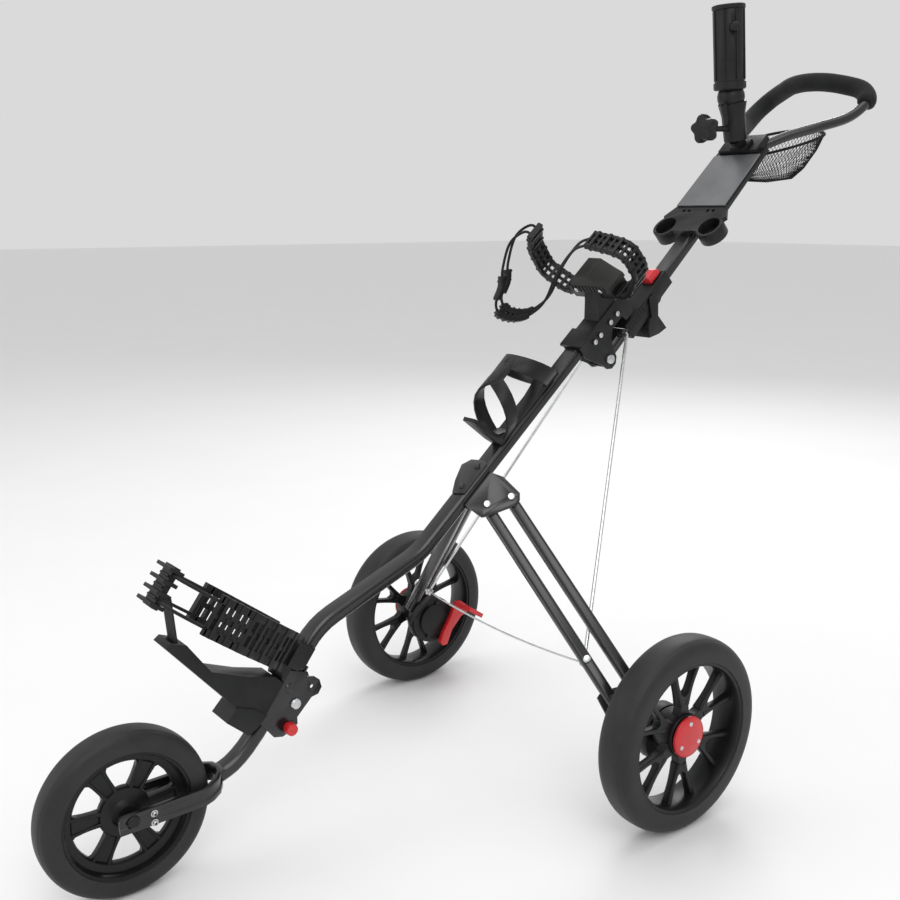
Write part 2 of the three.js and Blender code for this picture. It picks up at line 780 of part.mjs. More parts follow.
// ---------- upper joint bracket ----------
const CHEEK = [TUBE.width / 2 + GAP, TUBE.width / 2 + GAP + 4];
const handlePivotLocal = HANDLE.pivot.clone().applyMatrix4(mainMatrix.clone().invert());
const [PS, PN] = [handlePivotLocal.x, handlePivotLocal.z];
const cheekOutline = [
  [-6, 13.4],
  [-6, -13],
  [14, -50],
  [17, -62],
  [25, -69],
  [37, -69],
  [46, -61],
  [50, -42],
  [58, -28],
  [70, -18],
  [98, -18],
  [101, -30],
  [121, -30],
  [126, -8],
  [116, 13.4],
];
const cheek = (y0, y1) => flat(cheekOutline, y0, y1, [[PS, PN, BORE]]);
const boltHeads = [25, 41, 71, 91].flatMap((s) =>
  [-1, 1].map((side) =>
    pin(v(s, side * (CHEEK[1] - 1), -5), v(s, side * (CHEEK[1] + 3), -5), 5, 10, 4),
  ),
);
const CRADLE = { s: 104.7, n: 52.5 }; // middle of the bag cradle over the main tube
const TUBE_TOP = TUBE.height / 2 + GAP;
const upperBracket = join(
  cheek(-CHEEK[1], -CHEEK[0]),
  cheek(CHEEK[0], CHEEK[1]),
  box(122, 2 * CHEEK[1], 3, v(55, 0, TUBE_TOP + 1.5)),
  box(20, 2 * CHEEK[1], 16, v(111, 0, -TUBE_TOP - 8)),
  box(38, 50, 5, v(13, 0, TUBE_TOP + 3)),
  flat(
    [
      [54, 12],
      [102, 12],
      [122, 36],
      [122, 49],
      [86, 49],
      [76, 36],
    ],
    -17,
    17,
  ),
  box(38, 92, 14, v(CRADLE.s, 0, CRADLE.n - 10)),
  ...boltHeads,
);
add("upper_bracket", onMainTube(upperBracket), "blackPlastic");
add(
  "handle_pivot_bolt",
  join(
    pin(v(155, -CHEEK[1] - 1, 648), v(155, CHEEK[1] + 1, 648), AXLE, 12),
    pin(v(155, -CHEEK[1] - GAP, 648), v(155, -CHEEK[1] - 5, 648), 9, 12, 7.5),
    pin(v(155, CHEEK[1] + GAP, 648), v(155, CHEEK[1] + 6, 648), 8.5, 6),
  ),
  "steel",
);

const saddleSection = [
  [-47, 0],
  [47, 0],
  [46, 8],
  [30, 22],
  [14, 37],
  [-14, 37],
  [-30, 22],
  [-46, 8],
];
// A section in the cradle plane, thickened along the tube between two distances.
const acrossMain = (section, s0, s1) =>
  slab(section, s0, s1).applyMatrix4(
    new THREE.Matrix4().makeBasis(v(0, 1, 0), v(0, 0, 1), v(1, 0, 0)).setPosition(0, 0, CRADLE.n),
  );
add("bag_saddle", onMainTube(acrossMain(saddleSection.map(([y, n]) => [y, n - 3 + GAP]), 83, 127)), "greyRubber");

// ---------- cradle arms, cords and clips ----------
// A flat belt that follows (y, n) points in a plane square to the tube.
const rectangle = (w, h) => [
  [w / 2, -h / 2],
  [w / 2, h / 2],
  [-w / 2, h / 2],
  [-w / 2, -h / 2],
];
const beltPath = (points, s, base) => rounded(points.map(([y, n]) => v(s, y, base + n)), 26, 4);
function belt(points, s, base, width, thickness, slots = []) {
  const path = beltPath(points, s, base);
  const body = sweep(rectangle(thickness, width), path, v(1, 0, 0));
  const tools = slots.map(([k, count]) => {
    const i = Math.round(k * (path.length - 1));
    const a = path[Math.max(i - 1, 0)];
    const b = path[Math.min(i + 1, path.length - 1)];
    const m = basis(path[i], v(1, 0, 0), b.clone().sub(a));
    const w = (width - 10) / count;
    return Array.from({ length: count }, (_, j) =>
      box(w - 4, thickness * 3, 9, v(-(width - 10) / 2 + w * (j + 0.5), 0, 0)).applyMatrix4(m),
    );
  });
  return tools.length ? cut(body, ...tools.flat()) : body;
}
const upperRight = [
  [47, -10],
  [72, -10],
  [104, 27],
  [96, 78],
  [71, 113],
];
const upperLeft = [
  [-47, -14],
  [-74, -14],
  [-116, 30],
  [-117, 74],
  [-84, 86],
  [-46, 95],
];
const UPPER_BELT = { width: 34, thickness: 9 };
const upperBelt = (points, slots) =>
  onMainTube(belt(points, CRADLE.s, CRADLE.n, UPPER_BELT.width, UPPER_BELT.thickness, slots));

// Two strands side by side along one route, joined across at both ends, as one elastic loop.
const CORD = { radius: 2.3, clearance: 0.6 };
function cordLoop(route, offset, extra = 0, ends = true) {
  const r = CORD.radius + extra;
  const up = offset.clone().normalize();
  const strands = [-1, 1].map((k) => {
    const path = route.map((p) => p.clone().addScaledVector(offset, k));
    return sweep(circle(r, 5), path, up);
  });
  const bars = ends
    ? [route[0], route[route.length - 1]].map((p) =>
        pin(
          p.clone().addScaledVector(offset, -1).addScaledVector(up, -r * 0.8),
          p.clone().add(offset).addScaledVector(up, r * 0.8),
          r * 1.05,
          6,
        ),
      )
    : [];
  return join(...strands, ...bars);
}
const upperRoute = smooth(
  [
    v(77, -44, 843),
    v(90, 0, 832),
    v(112, 60, 794),
    v(116, 92, 748),
    v(100, 105, 726),
    v(72, 112, 716),
    v(42, 121, 722),
    v(33, 125, 742),
    v(46, 126, 770),
    v(48, 126, 800),
    v(57, 118, 843),
    v(68, 93, 862),
    v(73, 76, 853),
  ],
  21,
);
const upperOffset = alongMain.clone().multiplyScalar(8);
const upperLoop = cordLoop(upperRoute, upperOffset);
const upperChannel = cordLoop(upperRoute, upperOffset, CORD.clearance);
const part = (route, a, b) =>
  route.slice(Math.round(a * (route.length - 1)), Math.round(b * (route.length - 1)) + 1);
const sleeve = (route, a, b, width, thickness, up, channel) =>
  cut(sweep(roundedRectangle(thickness, width, 2, 1), part(route, a, b), up), channel);
const upperArms = { right: [[0.62, 2], [0.8, 2]], left: [[0.7, 3], [0.86, 3]] };
add("upper_right_arm", cut(upperBelt(upperRight, upperArms.right), upperChannel), "blackPlastic");
add("upper_left_arm", cut(upperBelt(upperLeft, upperArms.left), upperChannel), "blackPlastic");
add("upper_strap_cords", upperLoop, "cord");
add("upper_strap_clip", sleeve(upperRoute, 0.6, 0.73, 30, 11, alongMain, upperChannel), "blackPlastic");
add("upper_strap_fastener", sleeve(upperRoute, 0.36, 0.53, 28, 10, alongMain, upperChannel), "blackPlastic");

// The lower cradle stands square to the tube's low run.
const lowLocal = (s, y, n) => v(s, -y, n);
const LOWER_BELT = { s: 48, width: 58, thickness: 8 };
const clampBlock = [
  [28, -5],
  [62, -5],
  [62, 14.6],
  [88, 15],
  [88, 20],
  [76, 25],
  [28, 25],
];
const lowerClamp = cut(
  join(flat(clampBlock, -21, 21), flat([[30, 8], [66, 14], [66, 34], [30, 34]], -36, 36)),
  box(90, 2 * CHEEK[0], 40, v(50, 0, TUBE_TOP - 20)),
);
add("lower_bag_clamp", onLowTube(lowerClamp), "blackPlastic");
const lowerBelt = (points, slots) =>
  onLowTube(
    belt(
      points.map(([y, n]) => [-y, n]),
      LOWER_BELT.s,
      0,
      LOWER_BELT.width,
      LOWER_BELT.thickness,
      slots,
    ),
  );
const lowerRoute = smooth(
  [
    [-59, 186],
    [-58, 208],
    [-40, 238],
    [-16, 246],
    [16, 246],
    [44, 228],
    [58, 190],
    [59, 145],
  ].map(([y, n]) => lowLocal(LOWER_BELT.s, y, n).applyMatrix4(lowMatrix)),
  14,
);
const lowerOffset = alongLow.clone().multiplyScalar(19);
const lowerLoop = cordLoop(lowerRoute, lowerOffset);
const lowerChannel = cordLoop(lowerRoute, lowerOffset, CORD.clearance);
const lowerLeftBelt = lowerBelt(
  [
    [-28, 38],
    [-40, 62],
    [-60, 130],
    [-60, 195],
  ],
  [[0.4, 4], [0.65, 4], [0.85, 4]],
);
const lowerRightBelt = lowerBelt(
  [
    [28, 38],
    [40, 62],
    [60, 120],
    [60, 155],
  ],
  [[0.4, 4], [0.65, 4]],
);
add("lower_left_arm", cut(lowerLeftBelt, lowerChannel), "blackPlastic");
add("lower_right_arm", cut(lowerRightBelt, lowerChannel), "blackPlastic");
add("lower_strap_cords", lowerLoop, "cord");
const strapPath = [v(-622, 0, 318), v(-625, 0, 350), v(-629, 0, 396)];
const strapSection = roundedRectangle(20, 2.2, 0.6, 1);
const buckleParts = [-25, -8, 8, 25].map((s) => onLowTube(box(5, 44, 22, v(LOWER_BELT.s + s, 0, 248))));
const buckleBody = onLowTube(box(60, 30, 9, v(LOWER_BELT.s, 0, 246)));
add("lower_strap_buckle", cut(join(buckleBody, ...buckleParts), lowerChannel), "blackPlastic");
add("lower_foot_strap", sweep(strapSection, strapPath, v(1, 0, 0)), "webbing");
const footBeam = flat(
  [
    [-501.8, 200.3],
    [-546, 222],
    [-600, 283],
    [-642, 332],
    [-634, 338],
    [-613, 330],
    [-580, 284],
    [-529, 264],
    [-486, 252],
    [-472.9, 239.3],
  ],
  -21,
  21,
);
const footFlap = flat(
  [
    [-501.8, 200.3],
    [-516, 187],
    [-531, 178],
    [-563, 206],
    [-546, 224],
    [-520, 214],
  ],
  -24,
  24,
);
const strapSlot = sweep(roundedRectangle(21, 3.2, 0.6, 1), [v(-621.5, 0, 314), v(-625, 0, 350)], v(1, 0, 0));
add("lower_bag_foot", cut(join(footBeam, footFlap), strapSlot), "greyRubber");

// ---------- drink holder: a bottle cage whose axis runs along the tube ----------
const CAGE = { n: 54, radius: 39, wall: 4 };
const cagePoint = (s, a) => v(s, CAGE.radius * Math.sin(deg(a)), CAGE.n + CAGE.radius * Math.cos(deg(a)));
const steps = (from, to, count) =>
  Array.from({ length: count + 1 }, (_, i) => from + ((to - from) * i) / count);
const cageBand = steps(-158, 158, 16).map((a) =>
  cagePoint(-98 - CAGE.radius * Math.cos(deg(a)) * 0.45, a),
);
const cageStrip = (path, width) =>
  sweep(rectangle(CAGE.wall, width), path, v(1, 0, 0));
const cageStrut = (side) =>
  cageStrip(steps(0, 150, 8).map((a) => cagePoint(-152 - (a / 150) * 52, side * a)), 22);
const cageFront = cageStrip(steps(-24, 24, 4).map((a) => cagePoint(-139, a)), 40);
const cageBack = flat(
  [
    [-218, TUBE_TOP],
    [-60, TUBE_TOP],
    [-60, 17],
    [-82, 22],
    [-120, 16],
    [-190, 16],
    [-212, 30],
    [-226, 82],
    [-232, 80],
    [-222, 24],
  ],
  -14,
  14,
);
add(
  "drink_holder",
  onMainTube(join(cageStrip(cageBand, 28), cageStrut(1), cageStrut(-1), cageFront, cageBack)),
  "blackPlastic",
);

// ---------- latch on the handle tube ----------
const HOUSING = { from: 62, to: 192, side: 19 };
const LEVER_PIN = v(136, 0, 0);
const housing = cut(
  join(
    flat(
      [
        [HOUSING.from, -17],
        [150, -17],
        [156, -14],
        [HOUSING.to, -14],
        [HOUSING.to, 15],
        [151, 15],
        [146, 13.4],
        [HOUSING.from, 13.4],
      ],
      -HOUSING.side,
      HOUSING.side,
    ),
  ),
  box(300, 2 * (HANDLE.width / 2 + GAP), 2 * TUBE_TOP, v(130, 0, 0)),
  box(30, 27, 30, v(172, 0, TUBE_TOP + 15.1)),
  pin(LEVER_PIN.clone().setY(-30), LEVER_PIN.clone().setY(30), PIN_HOLE, 10),
);
add("latch_housing", onHandleTube(housing), "blackPlastic");
const leverOutline = [
  [127, -24],
  [128, -60],
  [108, -54],
  [87, -42],
  [98, -26],
  [110, -19],
  [126, -19],
];
const leverEar = (side) =>
  join(
    flat(
      [
        [112, -24],
        [126, -30],
        [145, -8],
        [145, 4],
        [141, 9],
        [131, 9],
        [127, 4],
      ],
      side < 0 ? -HOUSING.side - 4 : HOUSING.side + GAP,
      side < 0 ? -HOUSING.side - GAP : HOUSING.side + 4,
    ),
    pin(
      LEVER_PIN.clone().setY(side * (HOUSING.side + 1)),
      LEVER_PIN.clone().setY(side * (HOUSING.side - 4)),
      PIN,
      10,
    ),
  );
add(
  "latch_lever",
  onHandleTube(join(flat(leverOutline, -HOUSING.side - 4, HOUSING.side + 4), leverEar(-1), leverEar(1))),
  "blackPlastic",
);
add(
  "release_button",
  onHandleTube(
    flat(
      [
        [158, 16],
        [186, 16],
        [186, 24],
        [178, 30],
        [158, 31],
      ],
      -13,
      13,
    ),
  ),
  "red",
);

// ---------- console ----------
const LOBE = { s: 296, y: 49, radius: 25, cup: 20 };
const CONSOLE = { top: 19, lid: 3, from: 284, lidFrom: 344, lidTo: 474 };
const flatOnHandle = (points, n0, n1) => slab(points, n0, n1);
const lobeCup = (side, r, n0, n1) => pin(v(LOBE.s, side * LOBE.y, n0), v(LOBE.s, side * LOBE.y, n1), r, 22);
const consoleBody = join(
  flatOnHandle(
    [
      [CONSOLE.from, -44],
      [CONSOLE.from, 44],
      [320, 70],
      [344, 56],
      [494, 52],
      [494, -52],
      [344, -56],
      [320, -70],
    ],
    TUBE_TOP,
    CONSOLE.top,
  ),
  lobeCup(-1, LOBE.radius, -5, CONSOLE.top),
  lobeCup(1, LOBE.radius, -5, CONSOLE.top),
  box(40, 84, 17, v(498, 0, CONSOLE.top + 1)),
);
const LOOP_RADIUS = 9;
const loopRight = [
  onHandle(498, 25, 15),
  v(522, 36, 1009),
  v(554, 59, 1024),
  v(599, 89, 1039),
  v(648, 114, 1056),
  v(690, 120, 1084),
  v(706, 100, 1107),
  v(698, 68, 1119),
  v(683, 35, 1126),
];
const loopLeft = loopRight.map((p) => v(p.x, -p.y, p.z));
const loopPath = smooth([...loopLeft, v(677, 0, 1128), ...loopRight.slice().reverse()], 36);
const loopTube = sweep(circle(LOOP_RADIUS, 8), loopPath);
const toHandle = (g) => g.applyMatrix4(handleMatrix.clone().invert());
const loopHole = toHandle(sweep(circle(LOOP_RADIUS + 0.8, 8), loopPath.slice(0, 6)));
const loopHoleRight = toHandle(sweep(circle(LOOP_RADIUS + 0.8, 8), loopPath.slice(-6)));
const STALK = onHandle(486, -8, CONSOLE.top + 16);
const teeHoles = [-34, -22, 20, 32].map((y) => pin(v(334, y, 12), v(334, y, 40), 3.4, 8));
const consoleTray = cut(
  consoleBody,
  lobeCup(-1, LOBE.cup, -1, 40),
  lobeCup(1, LOBE.cup, -1, 40),
  box(110, 86, 10, v(410, 0, 18)),
  loopHole,
  loopHoleRight,
  ...teeHoles,
);
add("console_tray", onHandleTube(consoleTray), "blackPlastic");
const lidOutline = [
  [CONSOLE.lidFrom, -54],
  [CONSOLE.lidTo, -51],
  [CONSOLE.lidTo, 51],
  [CONSOLE.lidFrom, 54],
];
add(
  "console_lid",
  onHandleTube(slab(lidOutline, CONSOLE.top + GAP, CONSOLE.top + GAP + CONSOLE.lid)),
  "silver",
);
add("handle_loop", loopTube, "blackPaint");
const FOAM_RADIUS = 17;
const foamPath = part(loopPath, 0.3, 0.93);
add(
  "handle_grip",
  pipe(circle(FOAM_RADIUS, 8), circle(LOOP_RADIUS + 1.2, 8), foamPath),
  "foam",
);

// Net pouch: a shallow open bag that hangs inside and below the loop's arms.
const POUCH = { sides: 24, wall: 1.6 };
function pouchRing(cx, rx, ry, z, slope) {
  return steps(0, 360 - 360 / POUCH.sides, POUCH.sides - 1).map((a) => {
    const x = cx + rx * Math.cos(deg(a));
    const narrow = Math.min(1, 0.45 + (x - 520) / 190);
    return v(x, ry * Math.sin(deg(a)) * narrow, z + slope * (x - cx));
  });
}
const pouchRings = [
  pouchRing(597, 62, 92, 1016, 0.4),
  pouchRing(592, 58, 84, 990, 0.36),
  pouchRing(582, 50, 70, 962, 0.22),
  pouchRing(574, 40, 54, 948, 0.08),
];
const shrink = (ring, k, dz) => {
  const c = ring.reduce((a, b) => a.add(b), v(0, 0, 0)).multiplyScalar(1 / ring.length);
  return ring.map((p) => c.clone().lerp(p, k).add(v(0, 0, dz)));
};
const pouchOutside = [...pouchRings].reverse();
const pouchInside = pouchRings.map((ring, i) => shrink(ring, 0.97, i === 3 ? POUCH.wall : 0));
function closedLoft(loops) {
  const faces = [];
  const n = loops[0].length;
  for (let i = 0; i < loops.length - 1; i++)
    for (let j = 0; j < n; j++) {
      const k = (j + 1) % n;
      const [a, b, c, d] = [loops[i][j], loops[i][k], loops[i + 1][k], loops[i + 1][j]];
      faces.push(a, b, c, a, c, d);
    }
  const cap = (ring, flip) => {
    const c = ring.reduce((a, b) => a.add(b), v(0, 0, 0)).multiplyScalar(1 / n);
    for (let j = 0; j < n; j++) {
      const k = (j + 1) % n;
      faces.push(...(flip ? [c, ring[k], ring[j]] : [c, ring[j], ring[k]]));
    }
  };
  cap(loops[0], true);
  cap(loops[loops.length - 1], false);
  return fromFaces(faces);
}
add("net_pouch", closedLoft([...pouchOutside, ...pouchInside]), "mesh");

// ---------- umbrella holder ----------
const UMBRELLA = { y: -10, radius: 27, bore: 20.5 };
const ballCentre = v(447, UMBRELLA.y, 1087);
const tubeTop = v(428.6, UMBRELLA.y, 1238);
const umbrellaAxis = tubeTop.clone().sub(v(443, UMBRELLA.y, 1099)).normalize();
const BALL_RADIUS = 24;
const ball = (r) => new THREE.SphereGeometry(r, 14, 8).translate(...ballCentre.toArray());
const tubeBase = tubeTop.clone().addScaledVector(umbrellaAxis, -140);
const knobOut = v(-0.55, -0.835, 0);
const tubeKnobAt = tubeTop.clone().addScaledVector(umbrellaAxis, -40);
const umbrellaTube = cut(
  join(pin(tubeBase, tubeTop, UMBRELLA.radius - 1, 18, UMBRELLA.radius), ball(BALL_RADIUS)),
  pin(
    tubeBase.clone().addScaledVector(umbrellaAxis, 12),
    tubeTop.clone().addScaledVector(umbrellaAxis, 5),
    UMBRELLA.bore,
    16,
  ),
  pin(tubeKnobAt, tubeKnobAt.clone().addScaledVector(knobOut, 40), 4.4, 10),
);
add("umbrella_tube", umbrellaTube, "blackPlastic");
add(
  "umbrella_tube_knob",
  join(
    pin(
      tubeKnobAt.clone().addScaledVector(knobOut, 17),
      tubeKnobAt.clone().addScaledVector(knobOut, 30),
      PIN,
      10,
    ),
    pin(
      tubeKnobAt.clone().addScaledVector(knobOut, UMBRELLA.radius + GAP),
      tubeKnobAt.clone().addScaledVector(knobOut, UMBRELLA.radius + 12),
      9,
      14,
      8,
    ),
  ),
  "blackPlastic",
);
const clampLow = v(464, UMBRELLA.y, 1018);
const clampHigh = v(455, UMBRELLA.y, 1062);
const KNOB_STEM = v(-1, 0, -0.05).normalize();
const stemAt = v(459, UMBRELLA.y, 1034);
const mountBody = cut(
  join(
    onHandleTube(box(26, 34, 8, v(486, -8, CONSOLE.top + 13.9))),
    pin(STALK, clampLow, 11, 10, 13),
    pin(clampLow.clone().add(v(1, 0, -4)), clampHigh, 20, 12, 21),
    pin(clampHigh.clone().add(v(1, 0, -8)), v(451, UMBRELLA.y, 1078), 20, 12, 25),
  ),
  ball(BALL_RADIUS + 1.5),
  pin(stemAt, stemAt.clone().addScaledVector(KNOB_STEM, 60), 5.4, 12),
);
add("umbrella_mount", mountBody, "blackPlastic");
const onStem = (distance) => stemAt.clone().addScaledVector(KNOB_STEM, distance);
add(
  "umbrella_clamp_knob",
  join(
    pin(onStem(6), onStem(70), 5, 12),
    pin(onStem(66), onStem(84), 14, 16, 22),
    pin(onStem(84), onStem(90), 22, 16, 19),
  ),
  "blackPlastic",
);

// ---------- centre the part on its footprint ----------
const bounds = new THREE.Box3().setFromObject(cart);
cart.position.x = -(bounds.min.x + bounds.max.x) / 2;
export default cart;
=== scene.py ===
"""Golf push cart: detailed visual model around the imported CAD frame."""

import math

import bpy
from mathutils import Matrix, Vector


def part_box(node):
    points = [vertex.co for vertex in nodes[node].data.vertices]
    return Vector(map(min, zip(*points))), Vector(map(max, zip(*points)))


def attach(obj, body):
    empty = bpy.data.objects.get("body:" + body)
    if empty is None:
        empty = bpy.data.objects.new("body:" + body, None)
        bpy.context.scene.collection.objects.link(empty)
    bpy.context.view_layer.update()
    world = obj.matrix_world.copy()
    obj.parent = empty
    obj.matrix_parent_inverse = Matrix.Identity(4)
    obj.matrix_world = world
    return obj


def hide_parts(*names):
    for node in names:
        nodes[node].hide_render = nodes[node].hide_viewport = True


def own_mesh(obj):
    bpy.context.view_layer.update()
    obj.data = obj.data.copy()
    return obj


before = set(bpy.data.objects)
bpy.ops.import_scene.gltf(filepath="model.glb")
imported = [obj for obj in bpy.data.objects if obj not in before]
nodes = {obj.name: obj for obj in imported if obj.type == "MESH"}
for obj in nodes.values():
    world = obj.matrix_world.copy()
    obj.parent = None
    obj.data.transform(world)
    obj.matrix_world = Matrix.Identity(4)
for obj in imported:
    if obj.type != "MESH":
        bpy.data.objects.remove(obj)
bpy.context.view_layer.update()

# ---------- cart frame: millimetres, rear axle at X = 0, +X to the handle, +Y to the right ----------
SHIFT_X = 48.2467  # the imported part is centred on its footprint
MM = 0.001


def V(x, y, z):
    return Vector((x, y, z))


def to_scene(p):
    return Vector(((p[0] + SHIFT_X) * MM, p[1] * MM, p[2] * MM))


def rad(a):
    return math.radians(a)


# ---------- camera ----------
CAMERA_AT = V(-1150.4, -1307.4, 881.6)
CAMERA_ANGLE = (322.66, 11.61)  # azimuth from +Y, elevation
CAMERA_FOV = 44.8
CAMERA_SHIFT = (-0.0067, -0.0103)


def make_camera():
    azimuth, elevation = (rad(a) for a in CAMERA_ANGLE)
    level = math.cos(elevation)
    forward = V(-math.sin(azimuth) * level, math.cos(azimuth) * level, -math.sin(elevation))
    data = bpy.data.cameras.new("camera")
    data.angle = rad(CAMERA_FOV)
    data.shift_x, data.shift_y = CAMERA_SHIFT
    data.clip_end = 50
    camera = bpy.data.objects.new("camera", data)
    camera.location = to_scene(CAMERA_AT)
    camera.rotation_mode = "QUATERNION"
    camera.rotation_quaternion = forward.to_track_quat("-Z", "Y")
    bpy.context.scene.collection.objects.link(camera)
    bpy.context.scene.camera = camera


# ---------- materials ----------
def new_material(name, color, rough, metal=0.0, coat=0.0, sheen=0.0, specular=0.5):
    m = bpy.data.materials.new(name)
    m.use_nodes = True
    shader = m.node_tree.nodes["Principled BSDF"]
    shader.inputs["Base Color"].default_value = (*color, 1)
    shader.inputs["Roughness"].default_value = rough
    shader.inputs["Metallic"].default_value = metal
    shader.inputs["Coat Weight"].default_value = coat
    shader.inputs["Coat Roughness"].default_value = 0.25
    shader.inputs["Sheen Weight"].default_value = sheen
    shader.inputs["Specular IOR Level"].default_value = specular
    return m


def node(m, kind, **inputs):
    n = m.node_tree.nodes.new(kind)
    for key, value in inputs.items():
        n.inputs[key.replace("_", " ")].default_value = value
    return n


def link(m, a, b):
    m.node_tree.links.new(a, b)


def object_coordinates(m, scale=(1, 1, 1)):
    coordinates = node(m, "ShaderNodeTexCoord")
    mapping = node(m, "ShaderNodeMapping")
    mapping.inputs["Scale"].default_value = scale
    link(m, coordinates.outputs["Object"], mapping.inputs["Vector"])
    return mapping.outputs["Vector"]


def mottle(m, color, lighter, rough_range, scale, detail=6.0):
    """Broad variation of colour and roughness, so that no surface is one flat value."""
    at = object_coordinates(m)
    noise = node(m, "ShaderNodeTexNoise", Scale=scale, Detail=detail, Roughness=0.6)
    link(m, at, noise.inputs["Vector"])
    ramp = node(m, "ShaderNodeValToRGB")
    ramp.color_ramp.elements[0].position = 0.35
    ramp.color_ramp.elements[1].position = 0.72
    ramp.color_ramp.elements[0].color = (*color, 1)
    ramp.color_ramp.elements[1].color = (*lighter, 1)
    link(m, noise.outputs["Fac"], ramp.inputs["Fac"])
    shader = m.node_tree.nodes["Principled BSDF"]
    link(m, ramp.outputs["Color"], shader.inputs["Base Color"])
    spread = node(m, "ShaderNodeMapRange", To_Min=rough_range[0], To_Max=rough_range[1])
    link(m, noise.outputs["Fac"], spread.inputs["Value"])
    link(m, spread.outputs["Result"], shader.inputs["Roughness"])
    return shader


def bump(m, height, strength, distance, before=None):
    n = node(m, "ShaderNodeBump", Strength=strength, Distance=distance)
    link(m, height, n.inputs["Height"])
    if before is not None:
        link(m, before, n.inputs["Normal"])
    link(m, n.outputs["Normal"], m.node_tree.nodes["Principled BSDF"].inputs["Normal"])
    return n.outputs["Normal"]


def noise_height(m, scale, detail=3.0, stretch=(1, 1, 1)):
    at = object_coordinates(m, stretch)
    n = node(m, "ShaderNodeTexNoise", Scale=scale, Detail=detail, Roughness=0.55)
    link(m, at, n.inputs["Vector"])
    return n.outputs["Fac"]


def cell_height(m, scale):
    at = object_coordinates(m)
    n = node(m, "ShaderNodeTexVoronoi", Scale=scale)
    link(m, at, n.inputs["Vector"])
    return n.outputs["Distance"]


def wave_height(m, scale, direction, distortion=0.0):
    at = object_coordinates(m)
    n = node(m, "ShaderNodeTexWave", Scale=scale, Distortion=distortion)
    n.bands_direction = direction
    link(m, at, n.inputs["Vector"])
    return n.outputs["Fac"]


def make_materials():
    made = {}

    def put(key, name, color, lighter, rough, scale, metal=0.0, coat=0.0, sheen=0.0, specular=0.5):
        m = new_material(name, color, rough[0], metal, coat, sheen, specular)
        mottle(m, color, lighter, rough, scale)
        made[key] = m
        return m

    m = put("paint", "black_powder_coat", (0.006, 0.0062, 0.0068), (0.011, 0.0115, 0.012),
            (0.2, 0.3), 22, coat=0.4, specular=0.4)
    bump(m, noise_height(m, 900, 2.0), 0.05, 0.0004)
    m = put("plastic", "black_moulded_plastic", (0.006, 0.0062, 0.0068), (0.012, 0.0125, 0.013),
            (0.34, 0.5), 30, specular=0.3)
    bump(m, noise_height(m, 1500, 3.0), 0.14, 0.0004)
    m = put("rim", "wheel_rim_plastic", (0.005, 0.0052, 0.006), (0.009, 0.0095, 0.0105),
            (0.3, 0.42), 26, specular=0.3)
    bump(m, noise_height(m, 1400, 2.0), 0.1, 0.0004)
    m = put("tyre", "tyre_rubber", (0.014, 0.014, 0.0145), (0.027, 0.027, 0.0275),
            (0.42, 0.6), 16, specular=0.35)
    first = bump(m, noise_height(m, 700, 4.0), 0.18, 0.0005)
    bump(m, noise_height(m, 60, 2.0), 0.05, 0.002, first)
    m = put("foam", "foam_grip", (0.008, 0.0082, 0.009), (0.016, 0.0165, 0.018),
            (0.8, 0.92), 40, sheen=0.06, specular=0.3)
    bump(m, cell_height(m, 900), 0.35, 0.0006)
    m = put("steel", "zinc_steel", (0.56, 0.57, 0.59), (0.7, 0.71, 0.72), (0.2, 0.34), 60, metal=1.0)
    bump(m, noise_height(m, 500, 2.0, (1, 1, 0.2)), 0.05, 0.0003)
    m = put("red", "red_plastic", (0.55, 0.012, 0.018), (0.66, 0.022, 0.026), (0.28, 0.4), 30, coat=0.2)
    bump(m, noise_height(m, 1200, 2.0), 0.06, 0.0004)
    m = put("plate", "grey_plate", (0.15, 0.153, 0.158), (0.185, 0.188, 0.193),
            (0.34, 0.46), 18, metal=0.35)
    bump(m, noise_height(m, 1800, 2.0), 0.1, 0.0003)
    m = put("rubber", "grey_rubber", (0.02, 0.0195, 0.0175), (0.032, 0.031, 0.028),
            (0.6, 0.75), 28, specular=0.35)
    bump(m, noise_height(m, 600, 4.0), 0.25, 0.0006)
    m = put("cord", "braided_cord", (0.008, 0.008, 0.009), (0.016, 0.016, 0.017),
            (0.7, 0.85), 80, sheen=0.08, specular=0.3)
    first = bump(m, wave_height(m, 260, "DIAGONAL", 1.0), 0.5, 0.0006)
    bump(m, wave_height(m, 300, "Z", 1.0), 0.3, 0.0005, first)
    m = put("webbing", "woven_webbing", (0.008, 0.008, 0.009), (0.017, 0.017, 0.018),
            (0.8, 0.92), 90, sheen=0.08, specular=0.3)
    first = bump(m, wave_height(m, 320, "Y"), 0.5, 0.0006)
    bump(m, wave_height(m, 260, "Z"), 0.4, 0.0005, first)
    m = put("net", "knitted_net", (0.006, 0.006, 0.007), (0.013, 0.013, 0.014),
            (0.75, 0.9), 90, sheen=0.04, specular=0.25)
    bump(m, noise_height(m, 1500, 2.0), 0.3, 0.0004)
    return made


# ---------- mesh helpers, all in cart millimetres ----------
class Shape:
    """Vertices and faces gathered from simple closed shells."""

    def __init__(self):
        self.points = []
        self.faces = []

    def add(self, points, faces):
        base = len(self.points)
        self.points.extend(Vector(p) for p in points)
        self.faces.extend([base + i for i in f] for f in faces)
        return self

    def moved(self, matrix):
        out = Shape()
        return out.add([matrix @ p for p in self.points], self.faces)

    def join(self, other):
        return self.add(other.points, other.faces)


def basis(origin, x_direction, z_direction):
    z = Vector(z_direction).normalized()
    x = Vector(x_direction)
    x = (x - z * x.dot(z)).normalized()
    y = z.cross(x)
    m = Matrix.Identity(4)
    for column, axis in enumerate((x, y, z)):
        for row in range(3):
            m[row][column] = axis[row]
    m.translation = Vector(origin)
    return m


